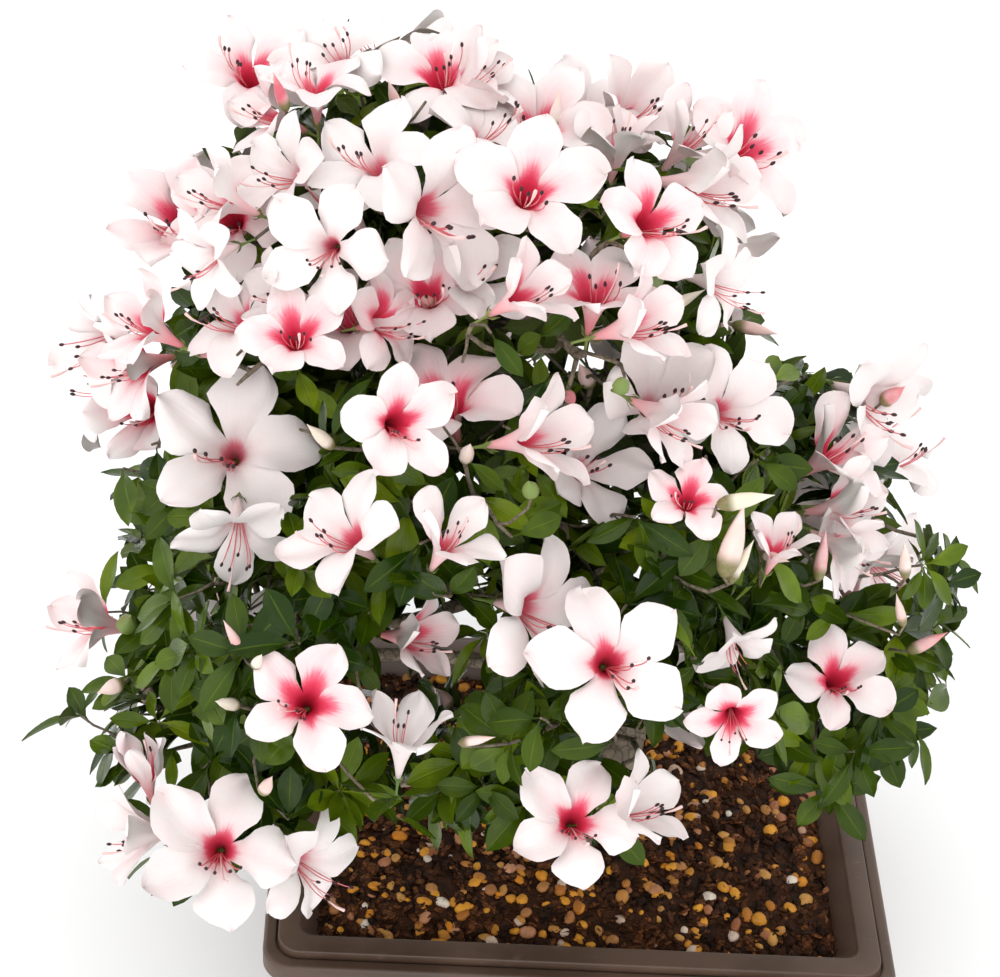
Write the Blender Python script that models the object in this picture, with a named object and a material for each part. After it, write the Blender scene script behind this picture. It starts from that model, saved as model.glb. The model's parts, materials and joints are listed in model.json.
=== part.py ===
"""Azalea bonsai in flower, in a low rectangular training pot.

Metres, +Z up. The origin is the centre of the pot's flat underside.
The trunk stands on the soil, leans to -X and carries one bough for each
mass of leaves and blossom. The crown's front is at -Y.
"""
import math
import random

import bmesh
import bpy
from mathutils import Matrix, Vector, noise
from mathutils.bvhtree import BVHTree

MM = 0.001
GAP = 0.3 * MM
SEED = 13

# Pot, half sizes on X and Y
POT_HALF = (155 * MM, 117.5 * MM)
POT_HEIGHT = 90 * MM
LIP_TOP = 86 * MM
LIP_WIDTH = 6.5 * MM
LIP_DEPTH = 13 * MM
BAND_WIDTH = 11 * MM
INNER_SLOPE = 8.5 * MM
INNER_SLOPE_DEPTH = 12 * MM
INNER_TAPER = 6 * MM
WALL_TAPER = 12 * MM
FLOOR_THICK = 6 * MM
CORNER_RADIUS = 14 * MM
CORNER_STEPS = 3

# Soil
SOIL_TOP = 82 * MM
SOIL_DROP = 3.5 * MM
SOIL_EDGE = 22 * MM

# Trunk: points of its axis with the radius there
TRUNK_AXIS = (
    ((10, 0, 82.3), 17.0),
    ((11, 0, 86), 15.2),
    ((14, 1, 95), 12.8),
    ((22, 3, 120), 11.2),
    ((21, 7, 165), 10.2),
    ((4, 4, 225), 9.2),
    ((-22, -4, 285), 8.0),
    ((-47, -8, 345), 6.8),
    ((-64, 0, 395), 5.6),
    ((-74, 8, 428), 4.6),
)
TRUNK_SIDES = 12
ROOT_COUNT = 5
ROOT_REACH = 0.95
ROOT_HEIGHT = 16 * MM
ROOT_TURN = 2.9

# Crown axis: its foot at the level CROWN_FOOT, and its lean to -X
CROWN_FOOT = 0.2
CROWN_AXIS_X = -0.025
CROWN_LEAN = 0.165

# Masses: name, side in degrees round the crown axis, reach from the axis,
# height of the centre, radius, height at which the bough leaves the trunk
MASSES = (
    ("crown_top", 0, 0, 467, 70, 428),
    ("upper_left", 200, 88, 440, 76, 376),
    ("upper_front", 293, 70, 452, 70, 398),
    ("upper_right", 4, 66, 438, 70, 388),
    ("upper_back", 100, 88, 416, 80, 358),
    ("shoulder_left", 258, 94, 398, 70, 318),
    ("shoulder_right", 314, 98, 386, 74, 334),
    ("middle_left", 184, 124, 348, 74, 280),
    ("middle_front_left", 238, 142, 320, 76, 260),
    ("middle_front", 285, 134, 314, 74, 240),
    ("middle_right", 346, 126, 316, 76, 270),
    ("middle_back_right", 52, 118, 312, 76, 250),
    ("middle_back_left", 122, 142, 328, 82, 300),
    ("low_left", 184, 170, 222, 74, 176),
    ("low_front_left", 218, 184, 214, 76, 124),
    ("low_front", 277, 112, 236, 62, 212),
    ("low_right", 336, 150, 238, 70, 138),
    ("low_back_right", 32, 148, 226, 74, 166),
    ("low_back", 80, 154, 230, 76, 152),
    ("low_back_left", 130, 158, 232, 78, 202),
)
FLATTEN = 0.88
CORE_SHARE = 0.5
CORE_ROUGHNESS = 0.35
CORE_BUMPS = 1.9
STEM_LENGTH = 9 * MM
STEM_RADIUS = 2.5 * MM
BOUGH_SIDES = 5
BOUGH_STEPS = 5
BOUGH_ROOT_SHARE = 0.52
BOUGH_SAG = 0.075

# Leaves, twigs and blossom: for each kind the places tried and the most kept
TWIG_RADIUS = 2.2 * MM
TWIG_REACHES = (0.94, 1.06)
TWIG_SHOWS = 0.7
BLOOM_UPTURN = 0.25
LEAF_UPTURN = 0.4
KNOB_RADIUS = 3.4 * MM
BLOOM_TRIES, BLOOM_MOST = 260, 8
WHORL_TRIES, WHORL_MOST = 50, 2
CORE_LEAF_TRIES, CORE_LEAF_MOST = 100, 7
CORE_LEAF_ROOT = 0.55
LEAF_LENGTH = 46 * MM
LEAF_WIDTH = 20 * MM
LEAF_THICK = 1.6 * MM
LEAF_LENGTHS = (0.87, 1.12)
LEAF_DROOPS = (0.02, 0.16)
LEAF_LIFTS = (0.3, 0.65)
LEAF_ROOT = 0.2
WHORL = 4
BLOOM_RADIUS = 29 * MM
BLOOM_SIZES = (0.92, 1.08)
BLOOM_DEPTH = 25 * MM
BLOOM_ROOT = 0.3
# Round a petal's edge: the turn from its middle, the reach and the rise, as shares
PETAL_EDGE = ((-math.pi / 5, 0.42, 0.8), (-0.4, 0.86, 1.0), (0, 1.0, 0.92), (0.4, 0.86, 1.0))
INNER_LIMIT = -0.1
LOWEST_WAY = -0.4
LIMB_CLEARANCE = 1.0 * MM
SPACE_MARGIN = 0.6 * MM


def new_material(name, colour, roughness, metallic=0.0):
    material = bpy.data.materials.new(name)
    material.use_nodes = True
    shader = material.node_tree.nodes["Principled BSDF"]
    shader.inputs["Base Color"].default_value = (*colour, 1.0)
    shader.inputs["Roughness"].default_value = roughness
    shader.inputs["Metallic"].default_value = metallic
    return material


def new_object(name, bm, material=None):
    mesh = bpy.data.meshes.new(name)
    bm.to_mesh(mesh)
    bm.free()
    obj = bpy.data.objects.new(name, mesh)
    bpy.context.scene.collection.objects.link(obj)
    if material:
        mesh.materials.append(material)
    return obj


def loft(bm, rings, cap_ends=True):
    """Join rings of equal length with quads; the faces point away from the axis."""
    rows = [[bm.verts.new(point) for point in ring] for ring in rings]
    count = len(rows[0])
    for low, high in zip(rows, rows[1:]):
        for i in range(count):
            j = (i + 1) % count
            bm.faces.new((low[i], low[j], high[j], high[i]))
    if cap_ends:
        bm.faces.new(list(reversed(rows[0])))
        bm.faces.new(rows[-1])
    return rows


# Pot and soil

def rounded_rectangle(half_x, half_y, radius, z):
    """Points of a rounded rectangle, anticlockwise as seen from above."""
    points = []
    for quarter, (sx, sy) in enumerate(((1, 1), (-1, 1), (-1, -1), (1, -1))):
        centre = Vector((sx * (half_x - radius), sy * (half_y - radius), z))
        for step in range(CORNER_STEPS + 1):
            angle = math.radians(90 * (quarter + step / CORNER_STEPS))
            points.append(centre + radius * Vector((math.cos(angle), math.sin(angle), 0)))
    return points


def pot_ring(inset, z):
    return rounded_rectangle(
        POT_HALF[0] - inset, POT_HALF[1] - inset, max(CORNER_RADIUS - 0.4 * inset, 4 * MM), z
    )


RIM_INSET = LIP_WIDTH + BAND_WIDTH
POT_INNER_UPPER = (RIM_INSET + INNER_SLOPE, POT_HEIGHT - INNER_SLOPE_DEPTH)
POT_INNER_LOWER = (RIM_INSET + INNER_SLOPE + INNER_TAPER, FLOOR_THICK)


def make_pot():
    outer_foot = LIP_WIDTH + WALL_TAPER
    profile = (
        (outer_foot + 2 * MM, 0),
        (outer_foot, 2.5 * MM),
        (LIP_WIDTH, LIP_TOP - LIP_DEPTH),
        (1 * MM, LIP_TOP - LIP_DEPTH + 1 * MM),
        (0, LIP_TOP - 2.5 * MM),
        (1.8 * MM, LIP_TOP),
        (LIP_WIDTH, LIP_TOP - 0.5 * MM),
        (LIP_WIDTH + 0.8 * MM, POT_HEIGHT),
        (RIM_INSET, POT_HEIGHT),
        POT_INNER_UPPER,
        POT_INNER_LOWER,
    )
    bm = bmesh.new()
    loft(bm, [pot_ring(inset, z) for inset, z in profile])
    new_object("pot", bm, new_material("pot_plastic", (0.055, 0.036, 0.027), 0.45))


def make_soil():
    upper_inset, upper_z = POT_INNER_UPPER
    lower_inset, lower_z = POT_INNER_LOWER
    edge_z = SOIL_TOP - SOIL_DROP
    slope = (lower_inset - upper_inset) / (upper_z - lower_z)
    side = upper_inset + slope * (upper_z - edge_z) + 1.2 * GAP
    profile = (
        (lower_inset + 1.2 * GAP, FLOOR_THICK + GAP),
        (side, edge_z),
        (side + 0.4 * SOIL_EDGE, edge_z + 0.7 * SOIL_DROP),
        (side + SOIL_EDGE, SOIL_TOP),
    )
    bm = bmesh.new()
    loft(bm, [pot_ring(inset, z) for inset, z in profile])
    new_object("soil", bm, new_material("potting_soil", (0.022, 0.013, 0.009), 0.95))


# Trunk and boughs

def ring_round(centre, direction, radius, sides, share=None):
    """A ring of points across a limb; share gives each side's part of the radius."""
    turn = Vector((0, 0, 1)).rotation_difference(direction)
    ring = []
    for i in range(sides):
        angle = 2 * math.pi * i / sides
        reach = radius * (share(angle) if share else 1.0)
        ring.append(centre + turn @ Vector((math.cos(angle) * reach, math.sin(angle) * reach, 0)))
    return ring


def root_share(height):
    """Roots swell the foot of the trunk and die out at ROOT_HEIGHT."""
    fade = max(0.0, 1 - height / ROOT_HEIGHT)

    def share(angle):
        lobe = max(0.0, math.cos(0.5 * ROOT_COUNT * (angle - ROOT_TURN)) ** 2) ** 1.5
        toward_left = 0.7 + 0.3 * math.cos(angle - math.pi)
        return 1 + ROOT_REACH * fade * lobe * toward_left
    return share


def trunk_rings(extra):
    """The rings of the trunk, grown by extra."""
    axis = [(Vector(point) * MM, radius * MM) for point, radius in TRUNK_AXIS]
    rings = []
    for i, (point, radius) in enumerate(axis):
        before = axis[max(i - 1, 0)][0]
        after = axis[min(i + 1, len(axis) - 1)][0]
        direction = (after - before).normalized() if i > 1 else Vector((0, 0, 1))
        share = root_share(point.z - axis[0][0].z)
        rings.append(ring_round(point, direction, radius + extra, TRUNK_SIDES, share))
    return rings


def trunk_at(height):
    """The centre and radius of the trunk at a height."""
    for (low, low_radius), (high, high_radius) in zip(TRUNK_AXIS, TRUNK_AXIS[1:]):
        if low[2] <= height <= high[2]:
            t = (height - low[2]) / (high[2] - low[2])
            centre = Vector(low).lerp(Vector(high), t) * MM
            return centre, (low_radius + (high_radius - low_radius) * t) * MM
    return Vector(TRUNK_AXIS[-1][0]) * MM, TRUNK_AXIS[-1][1] * MM


def make_trunk(bark):
    bm = bmesh.new()
    loft(bm, trunk_rings(0))
    return new_object("trunk", bm, bark)


def curve_points(start, middle, end, steps):
    """Points of a curve that leaves start towards middle and comes to end."""
    points = []
    for i in range(steps + 1):
        t = i / steps
        points.append(start * (1 - t) ** 2 + middle * 2 * t * (1 - t) + end * t ** 2)
    return points


def limb_rings(points, root_radius, tip_radius, sides, extra=0.0, tip_direction=None):
    rings = []
    last = len(points) - 1
    for i, point in enumerate(points):
        direction = (points[min(i + 1, last)] - points[max(i - 1, 0)]).normalized()
        if i == last and tip_direction:
            direction = tip_direction
        radius = root_radius + (tip_radius - root_radius) * (i / last) ** 0.8
        rings.append(ring_round(point, direction, radius + extra, sides))
    return rings


class Mass:
    """One mass of leaves and blossom with the stem that carries it."""

    def __init__(self, name, side, reach, height, radius, fork):
        self.name = name
        angle = math.radians(side)
        z = height * MM
        axis = Vector((CROWN_AXIS_X - CROWN_LEAN * (z - CROWN_FOOT), 0, z))
        side_way = Vector((math.cos(angle), math.sin(angle), 0))
        self.centre = axis + reach * MM * side_way
        self.radius = radius * MM
        self.outward = (side_way + Vector((0, 0, 0.5))).normalized()
        self.fork, fork_radius = trunk_at(fork)
        self.bough_radius = max(BOUGH_ROOT_SHARE * fork_radius, STEM_RADIUS * 1.3)
        sag = (self.centre - self.fork).length * BOUGH_SAG
        self.bend = self.fork.lerp(self.centre, 0.5) - Vector((0, 0, sag))
        self.stem_direction = (self.centre - self.bend).normalized()
        self.core_radius = CORE_SHARE * self.radius
        self.stem_start = self.centre - self.stem_direction * (self.core_radius + STEM_LENGTH)
        if not reach:
            self.stand_on_trunk(z)

    def stand_on_trunk(self, z):
        """The top mass goes on from the trunk's tip, in line with it."""
        trunk_top = Vector(TRUNK_AXIS[-1][0]) * MM
        way = (trunk_top - Vector(TRUNK_AXIS[-2][0]) * MM).normalized()
        self.outward = Vector((0, 0, 1))
        self.stem_direction = way
        self.stem_start = trunk_top + way * GAP
        self.centre = trunk_top + way * (z - trunk_top.z) / way.z

    @staticmethod
    def flattened(way):
        return Vector((way.x, way.y, way.z * FLATTEN))

    def owns(self, point, masses):
        """True where this mass is the nearest one, by the power of the point."""
        own = (point - self.centre).length_squared - self.radius ** 2
        for other in masses:
            if other is self:
                continue
            apart = (other.centre - self.centre).length
            power = (point - other.centre).length_squared - other.radius ** 2
            if power - own < 2 * apart * SPACE_MARGIN:
                return False
        return True

    def bough_rings(self, extra=0.0):
        tip = self.stem_start - self.stem_direction * GAP
        path = curve_points(self.fork, self.bend, tip, BOUGH_STEPS)
        return limb_rings(
            path, self.bough_radius, STEM_RADIUS, BOUGH_SIDES, extra, self.stem_direction
        )


def boolean(obj, operation, operand=None, collection=None, solver="EXACT"):
    modifier = obj.modifiers.new("join", "BOOLEAN")
    modifier.operation = operation
    modifier.solver = solver
    if collection:
        modifier.operand_type = "COLLECTION"
        modifier.collection = collection
    else:
        modifier.object = operand
    graph = bpy.context.evaluated_depsgraph_get()
    result = bpy.data.meshes.new_from_object(obj.evaluated_get(graph))
    obj.modifiers.remove(modifier)
    obj.data = result


def make_bough(mass, trunk_cutter, bark):
    bm = bmesh.new()
    loft(bm, mass.bough_rings())
    bough = new_object("bough_" + mass.name, bm, bark)
    boolean(bough, "DIFFERENCE", operand=trunk_cutter)
    keep_main_body(bough)
    return bough


def keep_main_body(obj):
    """Keep the largest closed body; this drops loose scraps and fills sealed hollows."""
    bm = bmesh.new()
    bm.from_mesh(obj.data)
    bodies = []
    left = set(bm.faces)
    while left:
        todo = [left.pop()]
        body = set(todo)
        while todo:
            for edge in todo.pop().edges:
                new = left.intersection(edge.link_faces)
                body |= new
                left -= new
                todo.extend(new)
        bodies.append(body)
    bodies.sort(key=len)
    for body in bodies[:-1]:
        bmesh.ops.delete(bm, geom=list(body), context="FACES")
    bmesh.ops.triangulate(bm, faces=bm.faces)
    bm.to_mesh(obj.data)
    bm.free()


# Leaves and blossom, each made round +Z at the origin and then placed

def leaf_mesh(length, width, droop, cut=0.0):
    """A leaf along +X: a rib above and below, and a pointed outline, 8 faces.

    cut leaves out that share of the leaf at its root.
    """
    bm = bmesh.new()
    half = 0.5 * width
    sag = -droop * length
    base = bm.verts.new((cut * length, 0, 0.1 * cut * sag))
    tip = bm.verts.new((length, 0, sag))
    left = bm.verts.new((0.52 * length, half, 0.25 * sag + 2 * MM))
    right = bm.verts.new((0.52 * length, -half, 0.25 * sag + 2 * MM))
    above = bm.verts.new((0.45 * length, 0, 0.2 * sag + 0.5 * LEAF_THICK))
    below = bm.verts.new((0.45 * length, 0, 0.2 * sag - 0.5 * LEAF_THICK))
    close_between(bm, [base, right, tip, left], above, below)
    return bm


def bloom_mesh(radius, depth):
    """A funnel of five petals opening to +Z, one closed shell of 40 faces."""
    bm = bmesh.new()
    throat = bm.verts.new((0, 0, 0.55 * depth))
    foot = bm.verts.new((0, 0, 0))
    rim = []
    for i in range(5):
        middle = 2 * math.pi * i / 5
        for turn, reach, rise in PETAL_EDGE:
            angle = middle + turn
            flat = Vector((math.cos(angle), math.sin(angle), 0)) * reach * radius
            rim.append(bm.verts.new(flat + Vector((0, 0, rise * depth))))
    close_between(bm, rim, throat, foot)
    return bm


def knob_mesh(radius):
    """The bud at a twig's end, 8 faces."""
    bm = bmesh.new()
    top = bm.verts.new((0, 0, 1.5 * radius))
    foot = bm.verts.new((0, 0, -1.5 * radius))
    corners = ((radius, 0, 0), (0, radius, 0), (-radius, 0, 0), (0, -radius, 0))
    close_between(bm, [bm.verts.new(corner) for corner in corners], top, foot)
    return bm


def close_between(bm, rim, above, below):
    """Faces from each edge of a rim, anticlockwise from above, to a point on either side."""
    for a, b in zip(rim, rim[1:] + rim[:1]):
        bm.faces.new((a, b, above))
        bm.faces.new((b, a, below))


def twig_mesh(start, end, radius):
    bm = bmesh.new()
    loft(bm, limb_rings([start, end], radius, 0.8 * radius, 3))
    return bm


def aim(direction, spin):
    """A turn that takes +Z to the direction."""
    turn = Vector((0, 0, 1)).rotation_difference(direction)
    return turn.to_matrix().to_4x4() @ Matrix.Rotation(spin, 4, "Z")


def directions(count, rng):
    """Directions spread evenly over a sphere, turned and jittered by the seed."""
    golden = math.pi * (3 - math.sqrt(5))
    start = rng.uniform(0, 2 * math.pi)
    for i in range(count):
        z = 1 - 2 * (i + 0.5) / count
        angle = start + golden * i + rng.uniform(-0.2, 0.2)
        flat = math.sqrt(1 - z * z)
        yield Vector((flat * math.cos(angle), flat * math.sin(angle), z))


class Pieces:
    """The pieces of one mass, kept apart from its limbs and from each other."""

    def __init__(self, mass, masses, limb_tree):
        self.mass = mass
        self.masses = masses
        self.limb_tree = limb_tree
        self.meshes = []
        self.trees = []

    def free(self, bm):
        """True if a mesh stays in the space, clear of limbs and of other pieces."""
        lowest = SOIL_TOP + 6 * MM
        for vert in bm.verts:
            if vert.co.z < lowest or not self.mass.owns(vert.co, self.masses):
                return False
        tree = BVHTree.FromBMesh(bm)
        return not tree.overlap(self.limb_tree) and not any(tree.overlap(t) for t in self.trees)

    def add(self, bm, outer):
        """Keep bm if its outer part is free; the root may touch what carries it."""
        kept = self.free(outer)
        outer.free()
        if kept:
            self.keep(bm)
        else:
            bm.free()
        return kept

    def keep(self, bm):
        self.meshes.append(bm)
        self.trees.append(BVHTree.FromBMesh(bm))


def core_mesh(mass):
    bm = bmesh.new()
    bmesh.ops.create_icosphere(bm, subdivisions=2, radius=mass.core_radius)
    offset = Vector((len(mass.name), mass.radius * 100, 3.1))
    for vert in bm.verts:
        swell = 1 + CORE_ROUGHNESS * noise.noise(vert.co.normalized() * CORE_BUMPS + offset)
        vert.co = mass.flattened(vert.co) * swell + mass.centre
    return bm


def placed(bm, place):
    bm.transform(place)
    return bm


def twig_place(mass, direction, upturn, depth, rng):
    """Where a twig ends, the way it then points, and the turn of what it carries."""
    turned = (direction + Vector((0, 0, upturn))).normalized()
    reach = mass.flattened(direction) * mass.radius * rng.uniform(*TWIG_REACHES)
    end = mass.centre + reach - turned * depth
    return end, turned, Matrix.Translation(end) @ aim(turned, rng.uniform(0, 2 * math.pi))


def twig_is_free(pieces, end, turned):
    """Tests the outer part of a twig, which shows between the core and what it carries."""
    start = pieces.mass.centre.lerp(end, TWIG_SHOWS)
    outer = twig_mesh(start, end - turned * 2 * KNOB_RADIUS, TWIG_RADIUS)
    free = pieces.free(outer)
    outer.free()
    return free


def grow_bloom_twig(pieces, direction, rng):
    """A twig from the mass's centre with its end sunk in the foot of a bloom."""
    end, turned, place = twig_place(pieces.mass, direction, BLOOM_UPTURN, BLOOM_DEPTH, rng)
    radius = BLOOM_RADIUS * rng.uniform(*BLOOM_SIZES)
    bloom = placed(bloom_mesh(radius, BLOOM_DEPTH), place)
    if not (pieces.free(bloom) and twig_is_free(pieces, end, turned)):
        bloom.free()
        return False
    tip = end + turned * BLOOM_ROOT * BLOOM_DEPTH
    pieces.keep(twig_mesh(pieces.mass.centre, tip, TWIG_RADIUS))
    pieces.keep(bloom)
    return True


def grow_leaf_twig(pieces, direction, rng):
    """A twig from the mass's centre with a whorl of leaves round its end."""
    depth = 0.25 * LEAF_LENGTH
    end, turned, place = twig_place(pieces.mass, direction, LEAF_UPTURN, depth, rng)
    knob = placed(knob_mesh(KNOB_RADIUS), place)
    if not (pieces.free(knob) and twig_is_free(pieces, end, turned)):
        knob.free()
        return False
    pieces.keep(twig_mesh(pieces.mass.centre, end, TWIG_RADIUS))
    pieces.keep(knob)
    for k in range(WHORL):
        around = 2 * math.pi * (k + rng.uniform(-0.1, 0.1)) / WHORL
        lift = rng.uniform(*LEAF_LIFTS)
        turn = Matrix.Rotation(around, 4, "Z") @ Matrix.Rotation(-lift, 4, "Y")
        add_leaf(pieces, place @ turn, LEAF_ROOT, rng)
    return True


def add_leaf(pieces, place, root_share, rng):
    """A leaf whose root, root_share of its length, may touch what carries it."""
    length = LEAF_LENGTH * rng.uniform(*LEAF_LENGTHS)
    droop = rng.uniform(*LEAF_DROOPS)
    leaf = placed(leaf_mesh(length, LEAF_WIDTH, droop), place)
    outer = placed(leaf_mesh(length, LEAF_WIDTH, droop, root_share), place)
    return pieces.add(leaf, outer)


def grow_core_leaf(pieces, direction, rng):
    """A leaf that stands straight out of the core, on a twig hidden in it."""
    mass = pieces.mass
    way = (direction + Vector((0, 0, rng.uniform(0, LEAF_UPTURN)))).normalized()
    root = mass.centre + mass.flattened(direction) * mass.core_radius * CORE_LEAF_ROOT
    upright = Matrix.Rotation(-math.pi / 2, 4, "Y")
    place = Matrix.Translation(root) @ aim(way, rng.uniform(0, 2 * math.pi)) @ upright
    return add_leaf(pieces, place, 1.5 * LEAF_ROOT, rng)


def shows(way, mass):
    """True unless the way points into the crown or down under it."""
    return way.dot(mass.outward) > INNER_LIMIT and way.z > LOWEST_WAY


def grow_mass(mass, masses, limb_tree, rng):
    """Twigs from the stem's end with blooms, then with leaves, then the core's leaves."""
    pieces = Pieces(mass, masses, limb_tree)
    kinds = (
        (BLOOM_TRIES, BLOOM_MOST, grow_bloom_twig),
        (WHORL_TRIES, WHORL_MOST, grow_leaf_twig),
        (CORE_LEAF_TRIES, CORE_LEAF_MOST, grow_core_leaf),
    )
    for tries, most, grow in kinds:
        kept = 0
        ways = [way for way in directions(tries, rng) if shows(way, mass)]
        rng.shuffle(ways)
        for way in ways:
            if kept < most:
                kept += grow(pieces, way, rng)
    stem = bmesh.new()
    loft(stem, limb_rings([mass.stem_start, mass.centre], STEM_RADIUS, STEM_RADIUS, 6))
    pieces.meshes.append(stem)
    return pieces.meshes


def make_mass(mass, masses, limb_tree, material):
    rng = random.Random(SEED + len(mass.name) * 101 + int(mass.radius * 1e5))
    body = new_object("mass_" + mass.name, core_mesh(mass), material)
    pieces = bpy.data.collections.new("pieces_" + mass.name)
    for bm in grow_mass(mass, masses, limb_tree, rng):
        piece = new_object("piece", bm)
        bpy.context.scene.collection.objects.unlink(piece)
        pieces.objects.link(piece)
    boolean(body, "UNION", collection=pieces, solver="MANIFOLD")
    for piece in list(pieces.objects):
        bpy.data.objects.remove(piece)
    bpy.data.collections.remove(pieces)
    keep_main_body(body)


def limbs_tree(masses):
    """All limbs, grown by the clearance, for the test of what touches them."""
    bm = bmesh.new()
    loft(bm, trunk_rings(LIMB_CLEARANCE))
    for mass in masses[1:]:
        loft(bm, mass.bough_rings(LIMB_CLEARANCE))
    tree = BVHTree.FromBMesh(bm)
    bm.free()
    return tree


def main():
    for obj in list(bpy.data.objects):
        bpy.data.objects.remove(obj)
    make_pot()
    make_soil()
    bark = new_material("bark", (0.19, 0.145, 0.1), 0.85)
    foliage = new_material("leaves_and_petals", (0.42, 0.5, 0.33), 0.5)
    make_trunk(bark)
    masses = [Mass(*row) for row in MASSES]
    cutter_mesh = bmesh.new()
    loft(cutter_mesh, trunk_rings(GAP * 1.1))
    cutter = new_object("trunk_cutter", cutter_mesh)
    for mass in masses[1:]:
        make_bough(mass, cutter, bark)
    bpy.data.objects.remove(cutter)
    limb_tree = limbs_tree(masses)
    for mass in masses:
        make_mass(mass, masses, limb_tree, foliage)


main()
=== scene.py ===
"""The looks of an azalea bonsai in blossom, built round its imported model.

The pot, the soil and the limbs are made at the model's own sizes. The crown grows on
from the limbs by the model's rule: each mass of the crown has one stem, twigs branch
from it, and each twig ends in a bloom, a bud, a pod or a whorl of leaves.
Units are metres. The front of the plant is at -Y.
"""
import functools
import json
import math
import random
from typing import NamedTuple

import bmesh
import bpy
import numpy as np
from bpy.props import FloatProperty, FloatVectorProperty, IntProperty, PointerProperty
from mathutils import Matrix, Vector, noise

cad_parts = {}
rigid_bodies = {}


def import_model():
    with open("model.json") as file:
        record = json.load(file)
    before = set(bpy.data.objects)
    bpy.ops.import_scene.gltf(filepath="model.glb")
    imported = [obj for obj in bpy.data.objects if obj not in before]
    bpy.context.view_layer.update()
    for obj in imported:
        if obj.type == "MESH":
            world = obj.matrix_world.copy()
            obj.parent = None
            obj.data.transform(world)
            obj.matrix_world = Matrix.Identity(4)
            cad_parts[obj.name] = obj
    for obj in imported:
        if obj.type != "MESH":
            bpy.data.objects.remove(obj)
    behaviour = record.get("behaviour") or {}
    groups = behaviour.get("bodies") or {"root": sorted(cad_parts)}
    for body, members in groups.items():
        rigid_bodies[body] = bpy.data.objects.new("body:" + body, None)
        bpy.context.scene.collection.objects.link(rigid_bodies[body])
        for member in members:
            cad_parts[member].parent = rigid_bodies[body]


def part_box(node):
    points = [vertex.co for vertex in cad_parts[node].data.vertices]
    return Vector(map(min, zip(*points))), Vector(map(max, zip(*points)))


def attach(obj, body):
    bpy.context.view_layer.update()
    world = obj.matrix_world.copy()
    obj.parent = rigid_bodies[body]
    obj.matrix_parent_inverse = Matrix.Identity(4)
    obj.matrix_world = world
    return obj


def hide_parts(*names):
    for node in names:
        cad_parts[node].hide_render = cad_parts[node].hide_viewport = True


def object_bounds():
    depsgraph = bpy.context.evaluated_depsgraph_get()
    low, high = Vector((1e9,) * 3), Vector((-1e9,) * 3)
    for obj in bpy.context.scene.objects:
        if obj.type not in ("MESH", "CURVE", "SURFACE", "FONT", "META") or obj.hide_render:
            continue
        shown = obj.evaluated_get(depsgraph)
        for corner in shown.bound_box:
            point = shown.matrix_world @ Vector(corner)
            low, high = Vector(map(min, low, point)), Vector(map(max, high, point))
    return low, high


bl_info = {
    "name": "Azalea Bonsai",
    "version": (1, 0, 0),
    "blender": (4, 5, 0),
    "location": "3D View > Sidebar > Bonsai",
    "description": "Builds a flowering azalea bonsai in its training pot",
    "category": "Add Mesh",
}

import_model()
CAD_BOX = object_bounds()
BOX_LOW, BOX_HIGH = (Vector(corner) for corner in CAD_BOX)

MM = 0.001
SEED = 13
GOLDEN_ANGLE = math.pi * (3 - math.sqrt(5))

# Pot and soil, as in the model
POT_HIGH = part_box("pot")[1]
POT_HALF = (POT_HIGH.x, POT_HIGH.y)
POT_HEIGHT = POT_HIGH.z
LIP_TOP = POT_HEIGHT - 4 * MM
LIP_WIDTH = 6.5 * MM
LIP_DEPTH = 13 * MM
BAND_WIDTH = 11 * MM
INNER_SLOPE = 8.5 * MM
INNER_SLOPE_DEPTH = 12 * MM
WALL_TAPER = 12 * MM
CORNER_RADIUS = 14 * MM
CORNER_STEPS = 12
SOIL_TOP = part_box("soil")[1].z
SOIL_DROP = 3.5 * MM
SOIL_EDGE = 22 * MM

# Trunk: points of its axis in mm with the radius there
TRUNK_AXIS = (
    ((10, 0, 82.3), 17.0),
    ((11, 0, 86), 15.2),
    ((14, 1, 95), 12.8),
    ((22, 3, 120), 11.2),
    ((21, 7, 165), 10.2),
    ((4, 4, 225), 9.2),
    ((-22, -4, 285), 8.0),
    ((-47, -8, 345), 6.8),
    ((-64, 0, 395), 5.6),
    ((-74, 8, 428), 4.6),
)

# Crown axis: its foot at the level CROWN_FOOT, and its lean to -X
CROWN_FOOT = 0.2
CROWN_AXIS_X = -0.025
CROWN_LEAN = 0.165

# Masses: name, side in degrees round the crown axis, reach from the axis,
# height of the centre, radius, height at which the bough leaves the trunk, in mm
MASSES = (
    ("crown_top", 0, 0, 467, 70, 428),
    ("upper_left", 200, 88, 440, 76, 376),
    ("upper_front", 293, 70, 452, 70, 398),
    ("upper_right", 4, 66, 438, 70, 388),
    ("upper_back", 100, 88, 416, 80, 358),
    ("shoulder_left", 258, 94, 398, 70, 318),
    ("shoulder_right", 314, 98, 386, 74, 334),
    ("middle_left", 184, 124, 348, 74, 280),
    ("middle_front_left", 238, 142, 320, 76, 260),
    ("middle_front", 285, 134, 314, 74, 240),
    ("middle_right", 346, 126, 316, 76, 270),
    ("middle_back_right", 52, 118, 312, 76, 250),
    ("middle_back_left", 122, 142, 328, 82, 300),
    ("low_left", 184, 170, 222, 74, 176),
    ("low_front_left", 218, 184, 214, 76, 124),
    ("low_front", 277, 112, 236, 62, 212),
    ("low_right", 336, 150, 238, 70, 138),
    ("low_back_right", 32, 148, 226, 74, 166),
    ("low_back", 80, 154, 230, 76, 152),
    ("low_back_left", 130, 158, 232, 78, 202),
)
FLATTEN = 0.88
CORE_SHARE = 0.5
STEM_LENGTH = 9 * MM
STEM_RADIUS = 2.5 * MM
BOUGH_ROOT_SHARE = 0.52
BOUGH_SAG = 0.075
SPACE_MARGIN = 0.6 * MM

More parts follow.
